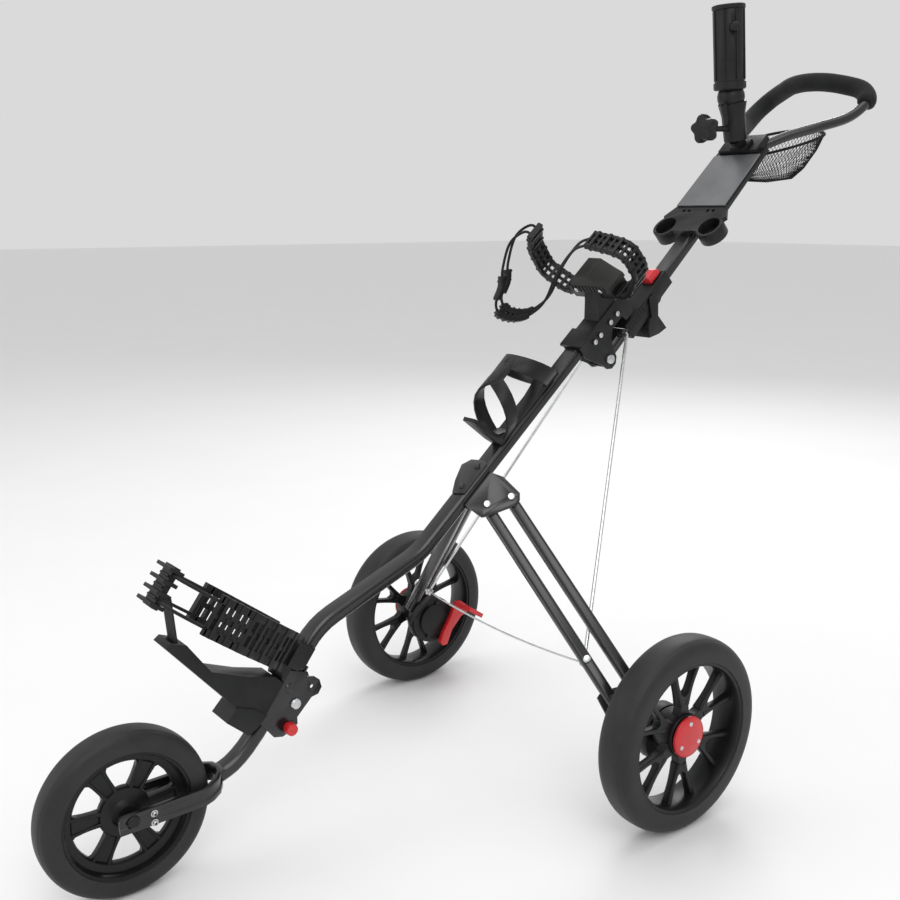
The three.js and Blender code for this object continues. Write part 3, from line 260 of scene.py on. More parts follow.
def loft(rings, closed=False, caps=True):
    """Rings of equal length joined into a skin; each ring turns counter-clockwise seen against the path."""
    n = len(rings[0])
    points = [p for ring in rings for p in ring]
    faces = []
    count = len(rings)
    for i in range(count if closed else count - 1):
        for j in range(n):
            a, b = i * n + j, i * n + (j + 1) % n
            c, d = ((i + 1) % count) * n + (j + 1) % n, ((i + 1) % count) * n + j
            faces.append([a, d, c, b])
    if caps and not closed:
        faces.append(list(range(n)))
        faces.append([(count - 1) * n + j for j in reversed(range(n))])
    return Shape().add(points, faces)


def frames_along(path, up, closed=False):
    out = []
    last = len(path) - 1
    for i, p in enumerate(path):
        before = path[i - 1] if (i or closed) else path[0]
        after = path[(i + 1) % len(path)] if (i < last or closed) else path[last]
        t = (after - before).normalized()
        side = t.cross(up).normalized()
        out.append((p, side, side.cross(t)))
    return out


def sweep(section, path, up=V(0, 0, 1), closed=False, grow=None):
    rings = []
    for i, (p, side, top) in enumerate(frames_along(path, Vector(up), closed)):
        k = grow(i / (len(path) - 1)) if grow else 1.0
        rings.append([p + side * a * k + top * b * k for a, b in section])
    return loft(rings, closed)


def tube(path, radius, sides=16, up=V(0, 0, 1), closed=False, grow=None):
    angles = [2 * math.pi * i / sides for i in range(sides)]
    section = [(radius * math.cos(a), radius * math.sin(a)) for a in angles]
    return sweep(section, path, up, closed, grow)


def rounded_rectangle(width, height, radius, steps=3):
    out = []
    for sx, sy, start in ((1, -1, -90), (1, 1, 0), (-1, 1, 90), (-1, -1, 180)):
        for i in range(steps + 1):
            a = rad(start + 90 * i / steps)
            x = sx * (width / 2 - radius) + radius * math.cos(a)
            y = sy * (height / 2 - radius) + radius * math.sin(a)
            out.append((x, y))
    return out


def lathe(profile, segments=96, axis_at=V(0, 0, 0), closed=True):
    """(radius, y) points turned about an axis along Y."""
    rings = []
    for i in range(segments):
        a = 2 * math.pi * i / segments
        rings.append([axis_at + V(r * math.cos(a), y, r * math.sin(a)) for r, y in profile])
    n = len(profile)
    points = [p for ring in rings for p in ring]
    faces = []
    for i in range(segments):
        k = (i + 1) % segments
        for j in range(n if closed else n - 1):
            m = (j + 1) % n
            faces.append([i * n + j, i * n + m, k * n + m, k * n + j])
    return Shape().add(points, faces)


def disc_lathe(profile, start, end, segments=32, wobble=None):
    """(radius, height) points turned about the line from start to end; the ends close on the axis."""
    along = (end - start).normalized()
    m = basis(start, along.orthogonal(), along)
    rings = []
    for r, h in profile:
        ring = []
        for i in range(segments):
            a = 2 * math.pi * i / segments
            k = r * (1 + (wobble(a) if wobble else 0))
            ring.append(m @ V(k * math.cos(a), k * math.sin(a), h))
        rings.append(ring)
    return loft([list(reversed(r)) for r in rings])


def prism(outline, low, high, matrix=None):
    """An outline in the local XY plane, from z low to z high."""
    area = sum(a[0] * b[1] - b[0] * a[1] for a, b in zip(outline, outline[1:] + outline[:1]))
    points = outline if area > 0 else list(reversed(outline))
    n = len(points)
    verts = [V(x, y, low) for x, y in points] + [V(x, y, high) for x, y in points]
    faces = [list(reversed(range(n))), list(range(n, 2 * n))]
    faces += [[i, (i + 1) % n, n + (i + 1) % n, n + i] for i in range(n)]
    shape = Shape().add(verts, faces)
    return shape.moved(matrix) if matrix else shape


def block(sx, sy, sz, at=V(0, 0, 0), matrix=None):
    outline = [(-sx / 2, -sy / 2), (sx / 2, -sy / 2), (sx / 2, sy / 2), (-sx / 2, sy / 2)]
    shape = prism(outline, -sz / 2, sz / 2).moved(Matrix.Translation(at))
    return shape.moved(matrix) if matrix else shape


def flat(outline, y0, y1, matrix=None):
    """An (x, z) outline thickened along Y."""
    turn = Matrix(((1, 0, 0, 0), (0, 0, 1, 0), (0, -1, 0, 0), (0, 0, 0, 1)))
    shape = prism([(x, -z) for x, z in outline], y0, y1, turn)
    return shape.moved(matrix) if matrix else shape


def smooth_path(points, steps):
    """A centripetal-like spline through the points, resampled evenly."""
    pts = [Vector(p) for p in points]
    ghost = [pts[0] * 2 - pts[1]] + pts + [pts[-1] * 2 - pts[-2]]
    fine = []
    for i in range(1, len(ghost) - 2):
        p0, p1, p2, p3 = ghost[i - 1 : i + 3]
        for s in range(16):
            t = s / 16
            fine.append(
                0.5
                * (
                    p1 * 2
                    + (p2 - p0) * t
                    + (p0 * 2 - p1 * 5 + p2 * 4 - p3) * t * t
                    + (p1 * 3 - p0 - p2 * 3 + p3) * t * t * t
                )
            )
    fine.append(pts[-1])
    return resample(fine, steps)


def resample(path, steps):
    lengths = [0.0]
    for a, b in zip(path, path[1:]):
        lengths.append(lengths[-1] + (b - a).length)
    out = []
    k = 0
    for i in range(steps + 1):
        target = lengths[-1] * i / steps
        while k < len(path) - 2 and lengths[k + 1] < target:
            k += 1
        span = lengths[k + 1] - lengths[k]
        t = (target - lengths[k]) / span if span > 0 else 0
        out.append(path[k].lerp(path[k + 1], t))
    return out


def rounded_path(points, radius, steps=8):
    pts = [Vector(p) for p in points]
    out = [pts[0].copy()]
    for a, p, b in zip(pts, pts[1:], pts[2:]):
        to_a, to_b = a - p, b - p
        half = to_a.angle(to_b) / 2
        reach = min(radius / math.tan(half), to_a.length * 0.49, to_b.length * 0.49)
        start = p + to_a.normalized() * reach
        end = p + to_b.normalized() * reach
        for i in range(steps + 1):
            t = i / steps
            out.append(start.lerp(p, t).lerp(p.lerp(end, t), t))
    out.append(pts[-1].copy())
    return out


def build(name, shape, material, body, stands_for=(), bevel=0.6, segments=2, smooth=40):
    mesh = bpy.data.meshes.new(name)
    mesh.from_pydata([to_scene(p) for p in shape.points], [], shape.faces)
    mesh.validate()
    obj = bpy.data.objects.new(name, mesh)
    bpy.context.scene.collection.objects.link(obj)
    soften(obj, bevel, segments, smooth)
    mesh.materials.append(material)
    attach(obj, body)
    if stands_for:
        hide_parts(*stands_for)
    return obj


def soften(obj, bevel, segments=2, smooth=40):
    """Rounded edges that catch the light, and smooth shading between them."""
    for polygon in obj.data.polygons:
        polygon.use_smooth = True
    if bevel:
        modifier = obj.modifiers.new("edges", "BEVEL")
        modifier.width = bevel * MM
        modifier.segments = segments
        modifier.limit_method = "ANGLE"
        modifier.angle_limit = rad(smooth)
        modifier.harden_normals = True
    else:
        obj.data.set_sharp_from_angle(angle=rad(smooth))


materials = make_materials()
make_camera()


# ---------- local frames ----------
def slope_frame(x, z, degrees):
    a = rad(degrees)
    return basis((x, 0, z), (math.cos(a), 0, math.sin(a)), (-math.sin(a), 0, math.cos(a)))


MAIN = slope_frame(97, 666, 41.8)  # s up the main tube, y to the left, n over it
HANDLE = slope_frame(155, 648, 43.5)
LOW_DROP = 53.5
LOW_COS = math.cos(rad(LOW_DROP))
LOW_SIN = math.sin(rad(LOW_DROP))
LOW = basis((-408, 0, 303), (-LOW_COS, 0, -LOW_SIN), (-LOW_SIN, 0, LOW_COS))


# s along the tube, y to the cart's right, n over the tube
def on(matrix, s, y, n):
    sign = 1 if matrix.col[1][1] > 0 else -1
    return matrix @ V(s, sign * y, n)


# ---------- CAD nodes that stay: a finish, rounded edges and smooth shading ----------
def finish_node(name, key, bevel=0.7):
    obj = nodes[name]
    obj.data.materials.clear()
    obj.data.materials.append(materials[key])
    for polygon in obj.data.polygons:
        polygon.material_index = 0
        polygon.use_smooth = True
    weld = obj.modifiers.new("weld", "WELD")
    weld.merge_threshold = 0.00002
    merge = obj.modifiers.new("flats", "DECIMATE")
    merge.decimate_type = "DISSOLVE"
    merge.angle_limit = rad(1)
    edges = obj.modifiers.new("edges", "BEVEL")
    edges.width = bevel * MM
    edges.segments = 2
    edges.limit_method = "ANGLE"
    edges.angle_limit = rad(32)
    edges.harden_normals = True


PAINTED = (
    "main_tube handle_tube left_front_leg right_front_leg left_rear_leg right_rear_leg "
    "front_fork leg_bracket front_fold_bracket"
).split()
MOULDED = (
    "upper_bracket drink_holder lower_bag_clamp lower_bag_foot latch_housing latch_lever console_tray "
    "umbrella_mount umbrella_tube umbrella_tube_knob left_hub_carrier right_hub_carrier "
    "lower_strap_buckle front_axle"
).split()
STEEL = (
    "front_fold_pin left_front_leg_bolt right_front_leg_bolt left_rear_leg_bolt right_rear_leg_bolt "
    "handle_pivot_bolt left_rod_bolt right_rod_bolt left_push_rod right_push_rod"
).split()
for name in PAINTED:
    finish_node(name, "paint", 0.9)
for name in MOULDED:
    finish_node(name, "plastic", 0.8)
for name in STEEL:
    finish_node(name, "steel", 0.4)
for name in ("brake_pedal", "fold_release_knob", "release_button"):
    finish_node(name, "red", 1.0)
finish_node("console_lid", "plate", 0.7)
finish_node("bag_saddle", "rubber", 1.6)


# ---------- wheels ----------
def tyre_profile(radius, width, rim, power, steps=40):
    """A rounded tyre section, closed, (radius, y), with a moulded line on each shoulder and sidewall."""
    half = width / 2
    outer = []
    for i in range(steps + 1):
        a = math.pi * (i / steps - 0.5)
        y = half * math.copysign(abs(math.sin(a)) ** 0.72, a)
        r = rim + (radius - rim) * (abs(math.cos(a)) ** power)
        shoulder = math.exp(-(((abs(y) - half * 0.66) / 0.9) ** 2)) * 0.7
        wall = math.exp(-(((r - rim - 7) / 0.9) ** 2)) * 0.6 if abs(y) > half * 0.8 else 0
        outer.append((r - shoulder, y - math.copysign(wall, y)))
    inner = [(rim - 2.0, half - 4.5), (rim - 4.5, half - 9)]
    inner += [(rim - 4.5, 9 - half), (rim - 2.0, 4.5 - half)]
    return outer + inner


def wheel_tyre(name, centre, radius, width, rim, body, stands_for):
    shape = lathe(tyre_profile(radius, width, rim, 0.5), 128, centre)
    return build(name, shape, materials["tyre"], body, (stands_for,), 0, smooth=50)


def spoke(centre, side, angle, hub_angle, rim_angle, hub_r, rim_r, y_hub, y_rim, width, depth):
    """A tapered rib from the hub to the rim barrel, with a rounded section."""
    a, b = rad(angle + hub_angle), rad(angle + rim_angle)
    start = centre + V(hub_r * math.cos(a), side * y_hub, hub_r * math.sin(a))
    end = centre + V(rim_r * math.cos(b), side * y_rim, rim_r * math.sin(b))
    section = rounded_rectangle(depth, width, min(depth, width) * 0.3, 3)
    path = [start.lerp(end, i / 8) for i in range(9)]
    across = V(0, 1, 0).cross(end - start)
    return sweep(section, path, up=across, grow=lambda t: 1.15 - 0.3 * math.sin(math.pi * min(t, 0.8)))


def y_stem(centre, side, angle):
    """The foot of a Y-shaped spoke: flared at the hub, notched where its two legs part."""
    edge = ((29, 26), (33, 19), (38, 13.5), (46, 9.8), (56, 9.2), (66, 9.4))
    outline = []
    for r, half in edge:
        a = rad(angle + half)
        outline.append((r * math.cos(a), r * math.sin(a)))
    notch = rad(angle)
    outline.append((58 * math.cos(notch), 58 * math.sin(notch)))
    for r, half in reversed(edge):
        a = rad(angle - half)
        outline.append((r * math.cos(a), r * math.sin(a)))
    y0, y1 = sorted((side * -4, side * 10.5))
    return flat(outline, y0, y1, Matrix.Translation(centre))


def rear_rim(name, centre, side, body, stands_for):
    def at(profile):
        turned = profile if side > 0 else reversed(profile)
        return lathe([(r, side * y) for r, y in turned], 96, centre)

    shape = Shape()
    barrel = [(107, -24), (108.5, -26), (112.5, -26), (112.5, 26)]
    barrel += [(108.5, 26), (107, 24), (104.5, 8), (104.5, -8)]
    shape.join(at(list(reversed(barrel))))
    hub = [(8, -24), (8, 15.5), (26, 15.5), (31, 14), (33, 10), (32, -20), (29, -24)]
    shape.join(at(hub))
    for i in range(6):
        angle = 30 + 60 * i
        shape.join(y_stem(centre, side, angle))
        for k in (-1, 1):
            shape.join(spoke(centre, side, angle, 5.5 * k, 14 * k, 46, 109, 3, 5, 8.5, 15))
    return build(name, shape, materials["rim"], body, (stands_for,), 0.6, smooth=35)


def hub_cap(name, centre, side, body, stands_for):
    outward = V(0, side, 0)
    dome = [(1, 16.6), (29.5, 16.6), (30.8, 17.6), (30.8, 20.4)]
    dome += [(29.6, 21.8), (26, 23.2), (14, 24.3), (1, 24.5)]
    shape = disc_lathe(dome, centre, centre + outward, 64)
    cap = build(name, shape, materials["red"], body, (stands_for,), 0, smooth=50)
    for i in range(3):
        a = rad(90 + 120 * i)
        at = centre + V(21 * math.cos(a), 0, 21 * math.sin(a))
        profile = [(3.4, 21), (3.6, 23.6), (3.2, 24.2), (1.5, 24.55), (0.3, 24.6)]
        screw = disc_lathe(profile, at, at + outward, 20)
        build(name + "_screw" + str(i), screw, materials["steel"], body, (), 0, smooth=50)
    return cap


REAR = 146.0
TRACK = 333.0
for word, side in (("left", -1), ("right", 1)):
    centre = V(0, side * TRACK, REAR)
    wheel = word + "_wheel"
    wheel_tyre(word + "_tyre_visual", centre, REAR, 56, 113, wheel, word + "_tyre")
    rear_rim(word + "_rim_visual", centre, side, wheel, word + "_rim")
    hub_cap(word + "_hub_cap_visual", centre, side, wheel, word + "_hub_cap")


def front_web(centre, angle):
    """The plate between two windows: narrow at the hub, flared and filleted at the barrel."""
    outline = []
    for r, half in ((31, 20), (35, 17), (42, 13.5), (56, 11.5), (66, 12), (70, 14), (73, 18)):
        a = rad(angle + half)
        outline.append((r * math.cos(a), r * math.sin(a)))
    for r, half in ((73, 18), (70, 14), (66, 12), (56, 11.5), (42, 13.5), (35, 17), (31, 20)):
        a = rad(angle - half)
        outline.append((r * math.cos(a), r * math.sin(a)))
    return flat(outline, -4, 4, Matrix.Translation(centre))


def front_rim(name, centre, body, stands_for):
    shape = Shape()
    barrel = [(88, -20), (88, 20), (84, 20), (82, 16), (81, 9), (72, 7), (70, 4)]
    barrel += [(70, -4), (72, -7), (81, -9), (82, -16), (84, -20)]
    shape.join(lathe(barrel, 96, centre))
    hub = [(5.5, -17), (14, -17), (15.5, -14), (20, -9), (33, -7), (35, -4)]
    hub += [(35, 4), (33, 7), (20, 9), (15.5, 14), (14, 17), (5.5, 17)]
    shape.join(lathe(list(reversed(hub)), 96, centre))
    for i in range(6):
        angle = 60 * i
        for k in (-1, 1):
            shape.join(spoke(centre, 1, angle, 13 * k, 9 * k, 33, 74, 0, 0, 5, 13))
        shape.join(front_web(centre, angle))
    return build(name, shape, materials["rim"], body, (stands_for,), 0.5, smooth=35)


FRONT_CENTRE = V(-704, 0, 116)
wheel_tyre("front_tyre_visual", FRONT_CENTRE, 116, 46, 88, "front_wheel", "front_tyre")
front_rim("front_rim_visual", FRONT_CENTRE, "front_wheel", "front_rim")


# ---------- handle loop, foam and pouch ----------
def loop_points():
    right = [on(HANDLE, 498, 25, 15), V(522, 36, 1009), V(554, 59, 1024)]
    right += [V(599, 89, 1039), V(648, 114, 1056)]
    right += [V(690, 120, 1084), V(706, 100, 1107), V(698, 68, 1119), V(683, 35, 1126)]
    left = [V(p.x, -p.y, p.z) for p in right]
    return left + [V(677, 0, 1128)] + list(reversed(right))


LOOP = smooth_path(loop_points(), 160)
loop = tube(LOOP, 8.8, 20)
build("handle_loop_visual", loop, materials["paint"], "handle", ("handle_loop",), 0)
FOAM_FROM, FOAM_TO = 0.30, 0.93
foam_path = [LOOP[i] for i in range(int(FOAM_FROM * 160), int(FOAM_TO * 160) + 1)]


def foam_grow(t):
    end = min(t, 1 - t) / 0.018
    return 0.72 + 0.28 * math.sqrt(max(0.0, 1 - (1 - min(end, 1)) ** 2)) + 0.004 * math.sin(t * 90)


grip = tube(foam_path, 16.8, 28, grow=foam_grow)
foam = build("handle_grip_visual", grip, materials["foam"], "handle", ("handle_grip",), 0, smooth=60)

# level rings from the rim down: centre x, half length, half width, height, slope
POUCH = (
    (597, 62, 92, 1016, 0.4),
    (592, 58, 84, 990, 0.36),
    (582, 50, 70, 962, 0.22),
    (574, 40, 54, 948, 0.08),
)


def pouch_point(turn, depth):
    """turn goes once round the pouch, depth from its rim, 0, to its floor, 1."""
    k = min(depth, 0.999) * (len(POUCH) - 1)
    i = int(k)
    cx, rx, ry, z, slope = (a + (b - a) * (k - i) for a, b in zip(POUCH[i], POUCH[i + 1]))
    a = 2 * math.pi * turn
    x = cx + rx * math.cos(a)
    narrow = min(1, 0.45 + (x - 520) / 190)
    return V(x, ry * math.sin(a) * narrow, z + (x - cx) * slope)


def net_shape():
    """A diamond net: the sides, then a floor that closes to the middle."""
    around, down, inward = 72, 17, 6
    shape = Shape()
    grid = []
    for j in range(down + inward + 1):
        row = []
        for i in range(around):
            turn = (i + 0.5 * (j % 2)) / around
            if j <= down:
                p = pouch_point(turn, j / down)
                sag = 1 + 0.012 * math.sin(turn * 50) * math.sin(math.pi * j / down)
                p = V(POUCH[1][0] + (p.x - POUCH[1][0]) * sag, p.y * sag, p.z)
            else:
                edge = pouch_point(turn, 1)
                k = (j - down) / inward
                middle = V(574, 0, 944)
                p = edge.lerp(middle, k * 0.97)
            row.append(p)
        grid.append(row)
    points = [p for row in grid for p in row]
    faces = []
    for j in range(0, down + inward - 1):
        odd = j % 2
        for i in range(around):
            top = j * around + i
            # a diamond: this point, its two neighbours in the next row, and the one two rows down
            left = (j + 1) * around + (i if odd else (i - 1) % around)
            right = (j + 1) * around + ((i + 1) % around if odd else i)
            bottom = (j + 2) * around + i
            faces.append([top, left, bottom, right])
    shape.add(points, faces)
    return shape


knit = net_shape()
net = build("net_pouch_visual", knit, materials["net"], "handle", ("net_pouch",), 0, smooth=180)
wire = net.modifiers.new("threads", "WIREFRAME")
wire.thickness = 0.0013
wire.use_even_offset = False
rim_path = [pouch_point(i / 64, 0) for i in range(64)]
hem = tube(rim_path, 2.6, 10, closed=True)
build("net_pouch_hem", hem, materials["webbing"], "handle", (), 0)


# ---------- cords and the cable ----------
def strand_pair(name, route, offset, radius, body, stands_for, key):
    """Two cords side by side along one route, joined across at both ends."""
    along = offset.normalized()
    shape = Shape()
    shape.join(tube([p - offset for p in route], radius, 12, along))
    shape.join(tube([p + offset for p in route], radius, 12, along))
    overlap = along * radius * 0.7
    for end in (route[0], route[-1]):
        ends = [end - offset - overlap, end + offset + overlap]
        shape.join(tube(ends, radius, 12, V(0.3, 0.4, 1)))
    return build(name, shape, materials[key], body, stands_for, 0, smooth=60)


UPPER_CORD = (
    (77, -44, 843),
    (90, 0, 832),
    (112, 60, 794),
    (116, 92, 748),
    (100, 105, 726),
    (72, 112, 716),
    (42, 121, 722),
    (33, 125, 742),
    (46, 126, 770),
    (48, 126, 800),
    (57, 118, 843),
    (68, 93, 862),
    (73, 76, 853),
)
CORD_RADIUS = 2.3
upper_route = smooth_path(UPPER_CORD, 90)
along_main = V(*(MAIN.col[0][i] for i in range(3)))
along_low = V(*(LOW.col[0][i] for i in range(3)))
upper_offset = along_main * 8
upper_cords = ("upper_strap_cords",)
strand_pair("upper_cords_visual", upper_route, upper_offset, CORD_RADIUS, "frame", upper_cords, "cord")
LOWER_CORD = ((-59, 186), (-58, 208), (-40, 238), (-16, 246), (16, 246), (44, 228), (58, 190), (59, 145))
lower_route = smooth_path([on(LOW, 48, y, n) for y, n in LOWER_CORD], 70)
lower_offset = along_low * 19
lower_cords = ("lower_strap_cords",)
strand_pair("lower_cords_visual", lower_route, lower_offset, CORD_RADIUS, "frame", lower_cords, "cord")


# ---------- cradle belts: a ladder of moulded links ----------
def belt_frame_points(corners, matrix, s, base, steps):
    outline = rounded_path([V(0, y, n) for y, n in corners], 26, 8)
    return [on(matrix, s, p.y, base + p.z) for p in resample(outline, steps)]


def ladder_belt(name, corners, matrix, s, base, width, thick, links, body, stands_for):
    """Two side rails, cross bars between them, and a row of raised ribs."""
    along = V(*(matrix.col[0][i] for i in range(3)))
    path = belt_frame_points(corners, matrix, s, base, links * 6)
    shape = Shape()
    rail = rounded_rectangle(thick, width * 0.2, 1.2, 2)
    for k in (-1, 1):
        edge = [p + along * (k * width * 0.4) for p in path]
        shape.join(sweep(rail, edge, along))
    middle = rounded_rectangle(thick * 0.7, width * 0.12, 0.9, 2)
    shape.join(sweep(middle, path, along))
    total = len(path) - 1
    for i in range(links + 1):
        j = min(max(round(i * total / links), 1), total - 1)
        t = (path[j + 1] - path[j - 1]).normalized()
        out = t.cross(along).normalized()
        frame_here = basis(path[j], along, out)
        deep = thick * (1.35 if i % 2 else 1.0)
        shape.join(block(width, 5.2 if i % 2 else 3.8, deep, V(0, 0, 0), frame_here))
    return build(name, shape, materials["plastic"], body, stands_for, 0.5, smooth=35)


UPPER_S, UPPER_N = 104.7, 52.5
RIGHT_ARM = ((47, -10), (72, -10), (104, 27), (96, 78), (71, 113))
LEFT_ARM = ((-47, -14), (-74, -14), (-116, 30), (-117, 74), (-84, 86), (-46, 95))
ladder_belt("upper_right_belt", RIGHT_ARM, MAIN, UPPER_S, UPPER_N, 34, 9, 14, "frame", ("upper_right_arm",))
ladder_belt("upper_left_belt", LEFT_ARM, MAIN, UPPER_S, UPPER_N, 34, 9, 18, "frame", ("upper_left_arm",))
LOW_LEFT_ARM = ((-28, 38), (-40, 62), (-60, 130), (-60, 195))
LOW_RIGHT_ARM = ((28, 38), (40, 62), (60, 120), (60, 155))
ladder_belt("lower_left_belt", LOW_LEFT_ARM, LOW, 48, 0, 58, 8, 14, "frame", ("lower_left_arm",))
ladder_belt("lower_right_belt", LOW_RIGHT_ARM, LOW, 48, 0, 58, 8, 11, "frame", ("lower_right_arm",))

strap = [V(-622, 0, 318), V(-625, 0, 350), V(-629, 0, 396)]
strap_path = smooth_path(strap, 30)
strap_section = rounded_rectangle(2.0, 31, 0.8, 3)
foot_strap = sweep(strap_section, strap_path, V(0, 1, 0))
foot_node = ("lower_foot_strap",)
build("foot_strap_visual", foot_strap, materials["webbing"], "frame", foot_node, 0, smooth=60)

# The cross cable hangs between the two push rods' bolts.
cable_low, cable_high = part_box("cross_cable")
cable_half = cable_high.y / MM
cable_end_z = cable_high.z / MM - 1.6
cable_sag = (cable_high.z - cable_low.z) / MM - 3.2
cable_x = (cable_low.x + cable_high.x) / 2 / MM - SHIFT_X
cable_path = []
for i in range(41):
    k = 1 - i / 20
    cable_path.append(V(cable_x, cable_half * k, cable_end_z - cable_sag * (1 - k * k)))
cable_tube = tube(cable_path, 1.6, 12, V(1, 0, 0))
cable = build("cross_cable_visual", cable_tube, materials["steel"], "cable", ("cross_cable",), 0)
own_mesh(cable)


# ---------- cord clips, screws and other small parts ----------
def cord_clip(name, path, half, barrel, width, bars, along, stands_for):
    """Two moulded barrels round the strands, with cross bars and raised ribs between them."""
    shape = Shape()
    for k in (-1, 1):
        edge = [p + along * (k * half) for p in path]
        shape.join(sweep(rounded_rectangle(barrel, barrel * 0.8, 2, 3), edge, along))
    last = len(path) - 1
    for i in range(bars):
        j = min(max(round(i * last / (bars - 1)), 1), last - 1)
        t = (path[j + 1] - path[j - 1]).normalized()
        out = t.cross(along).normalized()
        shape.join(block(width, 4.2, barrel * 0.95, V(0, 0, 0), basis(path[j], along, out)))
    return build(name, shape, materials["plastic"], "frame", stands_for, 0.6, smooth=35)


def route_near(route, name, half_length):
    """The stretch of a route round the middle of a CAD node, half_length millimetres each way."""
    low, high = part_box(name)
    middle = (low + high) / 2 / MM - V(SHIFT_X, 0, 0)
    step = (route[1] - route[0]).length
    nearest = min(range(len(route)), key=lambda i: (route[i] - middle).length)
    reach = round(half_length / step)
    return route[max(nearest - reach, 0) : nearest + reach + 1]


clip_route = route_near(upper_route, "upper_strap_clip", 22)
clip_node = ("upper_strap_clip",)
cord_clip("upper_clip_visual", clip_route, 8, 12.5, 31, 3, along_main, clip_node)
fastener_route = route_near(upper_route, "upper_strap_fastener", 31)
fastener_node = ("upper_strap_fastener",)
cord_clip("upper_fastener_visual", fastener_route, 7.5, 13.5, 30, 7, along_main, fastener_node)


def screw(name, at, outward, radius, body, rise=2.2):
    """A domed head with a shallow round recess, on a thin washer."""
    outward = Vector(outward).normalized()
    washer = [(0.4, 0), (radius * 1.35, 0), (radius * 1.35, 0.6), (radius, 0.7)]
    dome = [(radius * 0.96, rise * 0.6), (radius * 0.8, rise * 0.9), (radius * 0.52, rise)]
    recess = [(radius * 0.45, rise * 0.45), (0.4, rise * 0.45)]
    profile = washer + dome + recess
    shape = disc_lathe(profile, at, at + outward, 24)
    return build(name, shape, materials["steel"], body, (), 0, smooth=45)


for word, side in (("left", -1), ("right", 1)):
    for i, s in enumerate((25, 41, 71, 91)):
        at = on(MAIN, s, side * 22.2, -5)
        screw(word + "_bracket_screw" + str(i), at, (0, side, 0), 3.2, "frame", 1.6)
    for i, (dx, dz) in enumerate(((28, 2), (28, -11))):
        at = FRONT_CENTRE + V(dx, side * 36.2, dz)
        screw(word + "_fork_screw" + str(i), at, (0, side, 0), 3.6, "fork", 4.2)


# ---------- moulded ribs on the saddle and the latch ----------
def rib_row(name, places, size, matrix, body, key):
    """Small rounded ribs, each a block centred at (s, y, n)."""
    shape = Shape()
    for s, y, n in places:
        at = on(matrix, s, y, n)
        local = matrix.to_3x3().to_4x4()
        local.translation = at
        shape.join(block(*size, V(0, 0, 0), local))
    return build(name, shape, materials[key], body, (), 0.5, smooth=35)


SADDLE_TOP = UPPER_N + 37
grooves = [(105, -10 + 4 * i, SADDLE_TOP - 2.6) for i in range(6)]
rib_row("saddle_top_ribs", grooves, (40, 1.6, 1.6), MAIN, "frame", "rubber")
face = [(82.6, -36 + 8 * i, UPPER_N + 5) for i in range(10)]
rib_row("saddle_front_ribs", face, (2.2, 3, 13), MAIN, "frame", "plastic")
rim_screws = ((34, -28), (34, 28))
for i, (n, y) in enumerate(rim_screws):
    screw("saddle_screw" + str(i), on(MAIN, 81.6, y, UPPER_N + 3), -along_main, 3, "frame", 1.6)
comb = []
for k in range(-3, 4):
    comb.append((48 + 8 * k, 0, 251.6))
rib_row("lower_buckle_ribs", comb, (3, 26, 3), LOW, "frame", "plastic")
housing = [(70 + 7 * i, side * 19.2, 4) for i in range(7) for side in (-1, 1)]
rib_row("latch_housing_ribs", housing, (2.6, 1.6, 15), HANDLE, "handle", "plastic")


# ---------- umbrella holder trim ----------
TUBE_TOP = V(428.6, -10, 1238)
UMBRELLA_AXIS = (TUBE_TOP - V(443, -10, 1099)).normalized()


def collar(name, low, high, radius, bore, body):
    """A ring round the umbrella tube, `low` and `high` millimetres below its top."""
    at = TUBE_TOP - UMBRELLA_AXIS * high
    thick = high - low
    profile = [(bore, 0), (radius - 1, 0), (radius, 1)]
    profile += [(radius, thick - 1), (radius - 1, thick), (bore, thick)]
    matrix = basis(at, V(0, 1, 0), UMBRELLA_AXIS)
    rings = []
    for i in range(72):
        a = 2 * math.pi * i / 72
        rings.append([matrix @ V(r * math.cos(a), r * math.sin(a), h) for r, h in profile])
    shape = loft(rings, closed=True)
    return build(name, shape, materials["plastic"], body, (), 0.4, smooth=35)


collar("umbrella_tube_lip", 0.4, 8, 28.6, 26.2, "umbrella")
collar("umbrella_tube_lower_band", 127, 139, 28.0, 26.0, "umbrella")
for i in range(8):
    a = rad(45 * i + 22.5)
    frame_at = basis(TUBE_TOP, V(0, 1, 0), UMBRELLA_AXIS)
    low_end = frame_at @ V(26.6 * math.cos(a), 26.6 * math.sin(a), -124)
    high_end = frame_at @ V(26.9 * math.cos(a), 26.9 * math.sin(a), -9)
    outward = frame_at @ V(math.cos(a), math.sin(a), 0) - TUBE_TOP
    rib = sweep(rounded_rectangle(2.4, 3.0, 0.8, 2), [low_end, high_end], outward)
    rib_name = "umbrella_tube_rib" + str(i)
    build(rib_name, rib, materials["plastic"], "umbrella", (), 0.3, smooth=35)


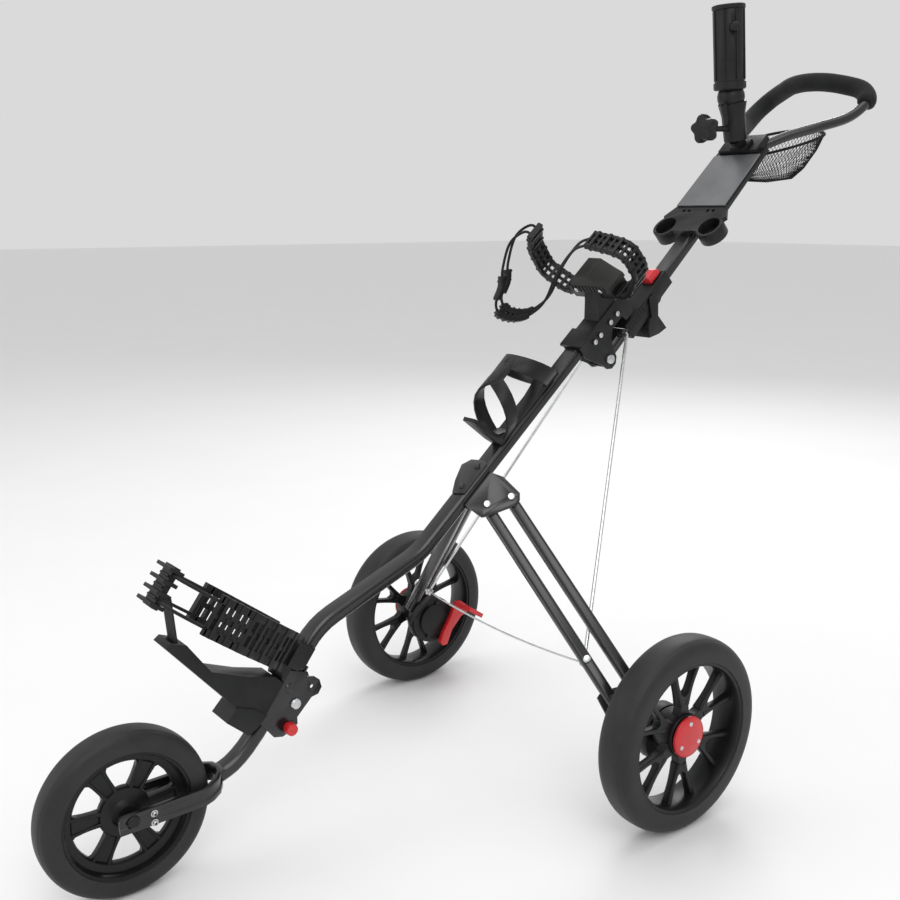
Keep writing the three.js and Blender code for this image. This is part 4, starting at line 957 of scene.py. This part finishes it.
def star_knob(name, start, axis, heights, radius, lobes, body, stands_for, stem):
    """A hand knob with rounded lobes on a round stem."""
    axis = Vector(axis).normalized()
    low, high = heights
    profile = [(0.5, low), (radius * 0.62, low), (radius * 0.9, low + 2), (radius, low + (high - low) * 0.35)]
    profile += [(radius, low + (high - low) * 0.75), (radius * 0.9, high - 1.5), (radius * 0.6, high), (0.5, high)]
    shape = disc_lathe(profile, start, start + axis, 96, wobble=lambda a: 0.13 * math.cos(lobes * a) - 0.1)
    rod = [(0.5, stem[0]), (5, stem[0]), (5, low - 4), (8, low - 2), (9, low + 0.5), (0.5, low + 0.5)]
    shape.join(disc_lathe(rod, start, start + axis, 32))
    return build(name, shape, materials["plastic"], body, (stands_for,), 0, smooth=40)


star_knob("umbrella_clamp_knob_visual", V(459, -10, 1034), (-1, 0, -0.05), (66, 89.5), 25, 5, "clamp_knob",
          "umbrella_clamp_knob", (6, 70))


# ---------- floor, light and backdrop ----------
def make_stage():
    floor_mesh = bpy.data.meshes.new("floor")
    floor_mesh.from_pydata([(-30, -30, 0), (30, -30, 0), (30, 30, 0), (-30, 30, 0)], [], [(0, 1, 2, 3)])
    floor = bpy.data.objects.new("floor", floor_mesh)
    bpy.context.scene.collection.objects.link(floor)
    m = new_material("pale_floor", (0.86, 0.86, 0.86), 0.75)
    mottle(m, (0.855, 0.855, 0.855), (0.87, 0.87, 0.87), (0.7, 0.8), 3)
    floor_mesh.materials.append(m)
    world = bpy.data.worlds.new("studio")
    world.use_nodes = True
    background = world.node_tree.nodes["Background"]
    background.inputs["Color"].default_value = (1, 1, 1, 1)
    background.inputs["Strength"].default_value = 0.7
    bpy.context.scene.world = world
    for name, at, target, size, power in (
        ("key", (-1.6, -2.6, 3.2), (0.1, 0, 0.5), 2.2, 42),
        ("fill", (-3.0, 1.6, 1.8), (-0.1, 0, 0.5), 2.0, 14),
        ("rim", (2.6, 1.8, 2.6), (0.1, 0, 0.7), 1.6, 36),
        ("top", (0.1, 0.1, 3.6), (0.1, 0, 0), 2.6, 26),
    ):
        data = bpy.data.lights.new(name, "AREA")
        data.size = size
        data.energy = power
        lamp = bpy.data.objects.new(name, data)
        lamp.location = at
        lamp.rotation_mode = "QUATERNION"
        lamp.rotation_quaternion = (Vector(target) - Vector(at)).to_track_quat("-Z", "Y")
        bpy.context.scene.collection.objects.link(lamp)
    bpy.context.scene.view_settings.view_transform = "Standard"


make_stage()
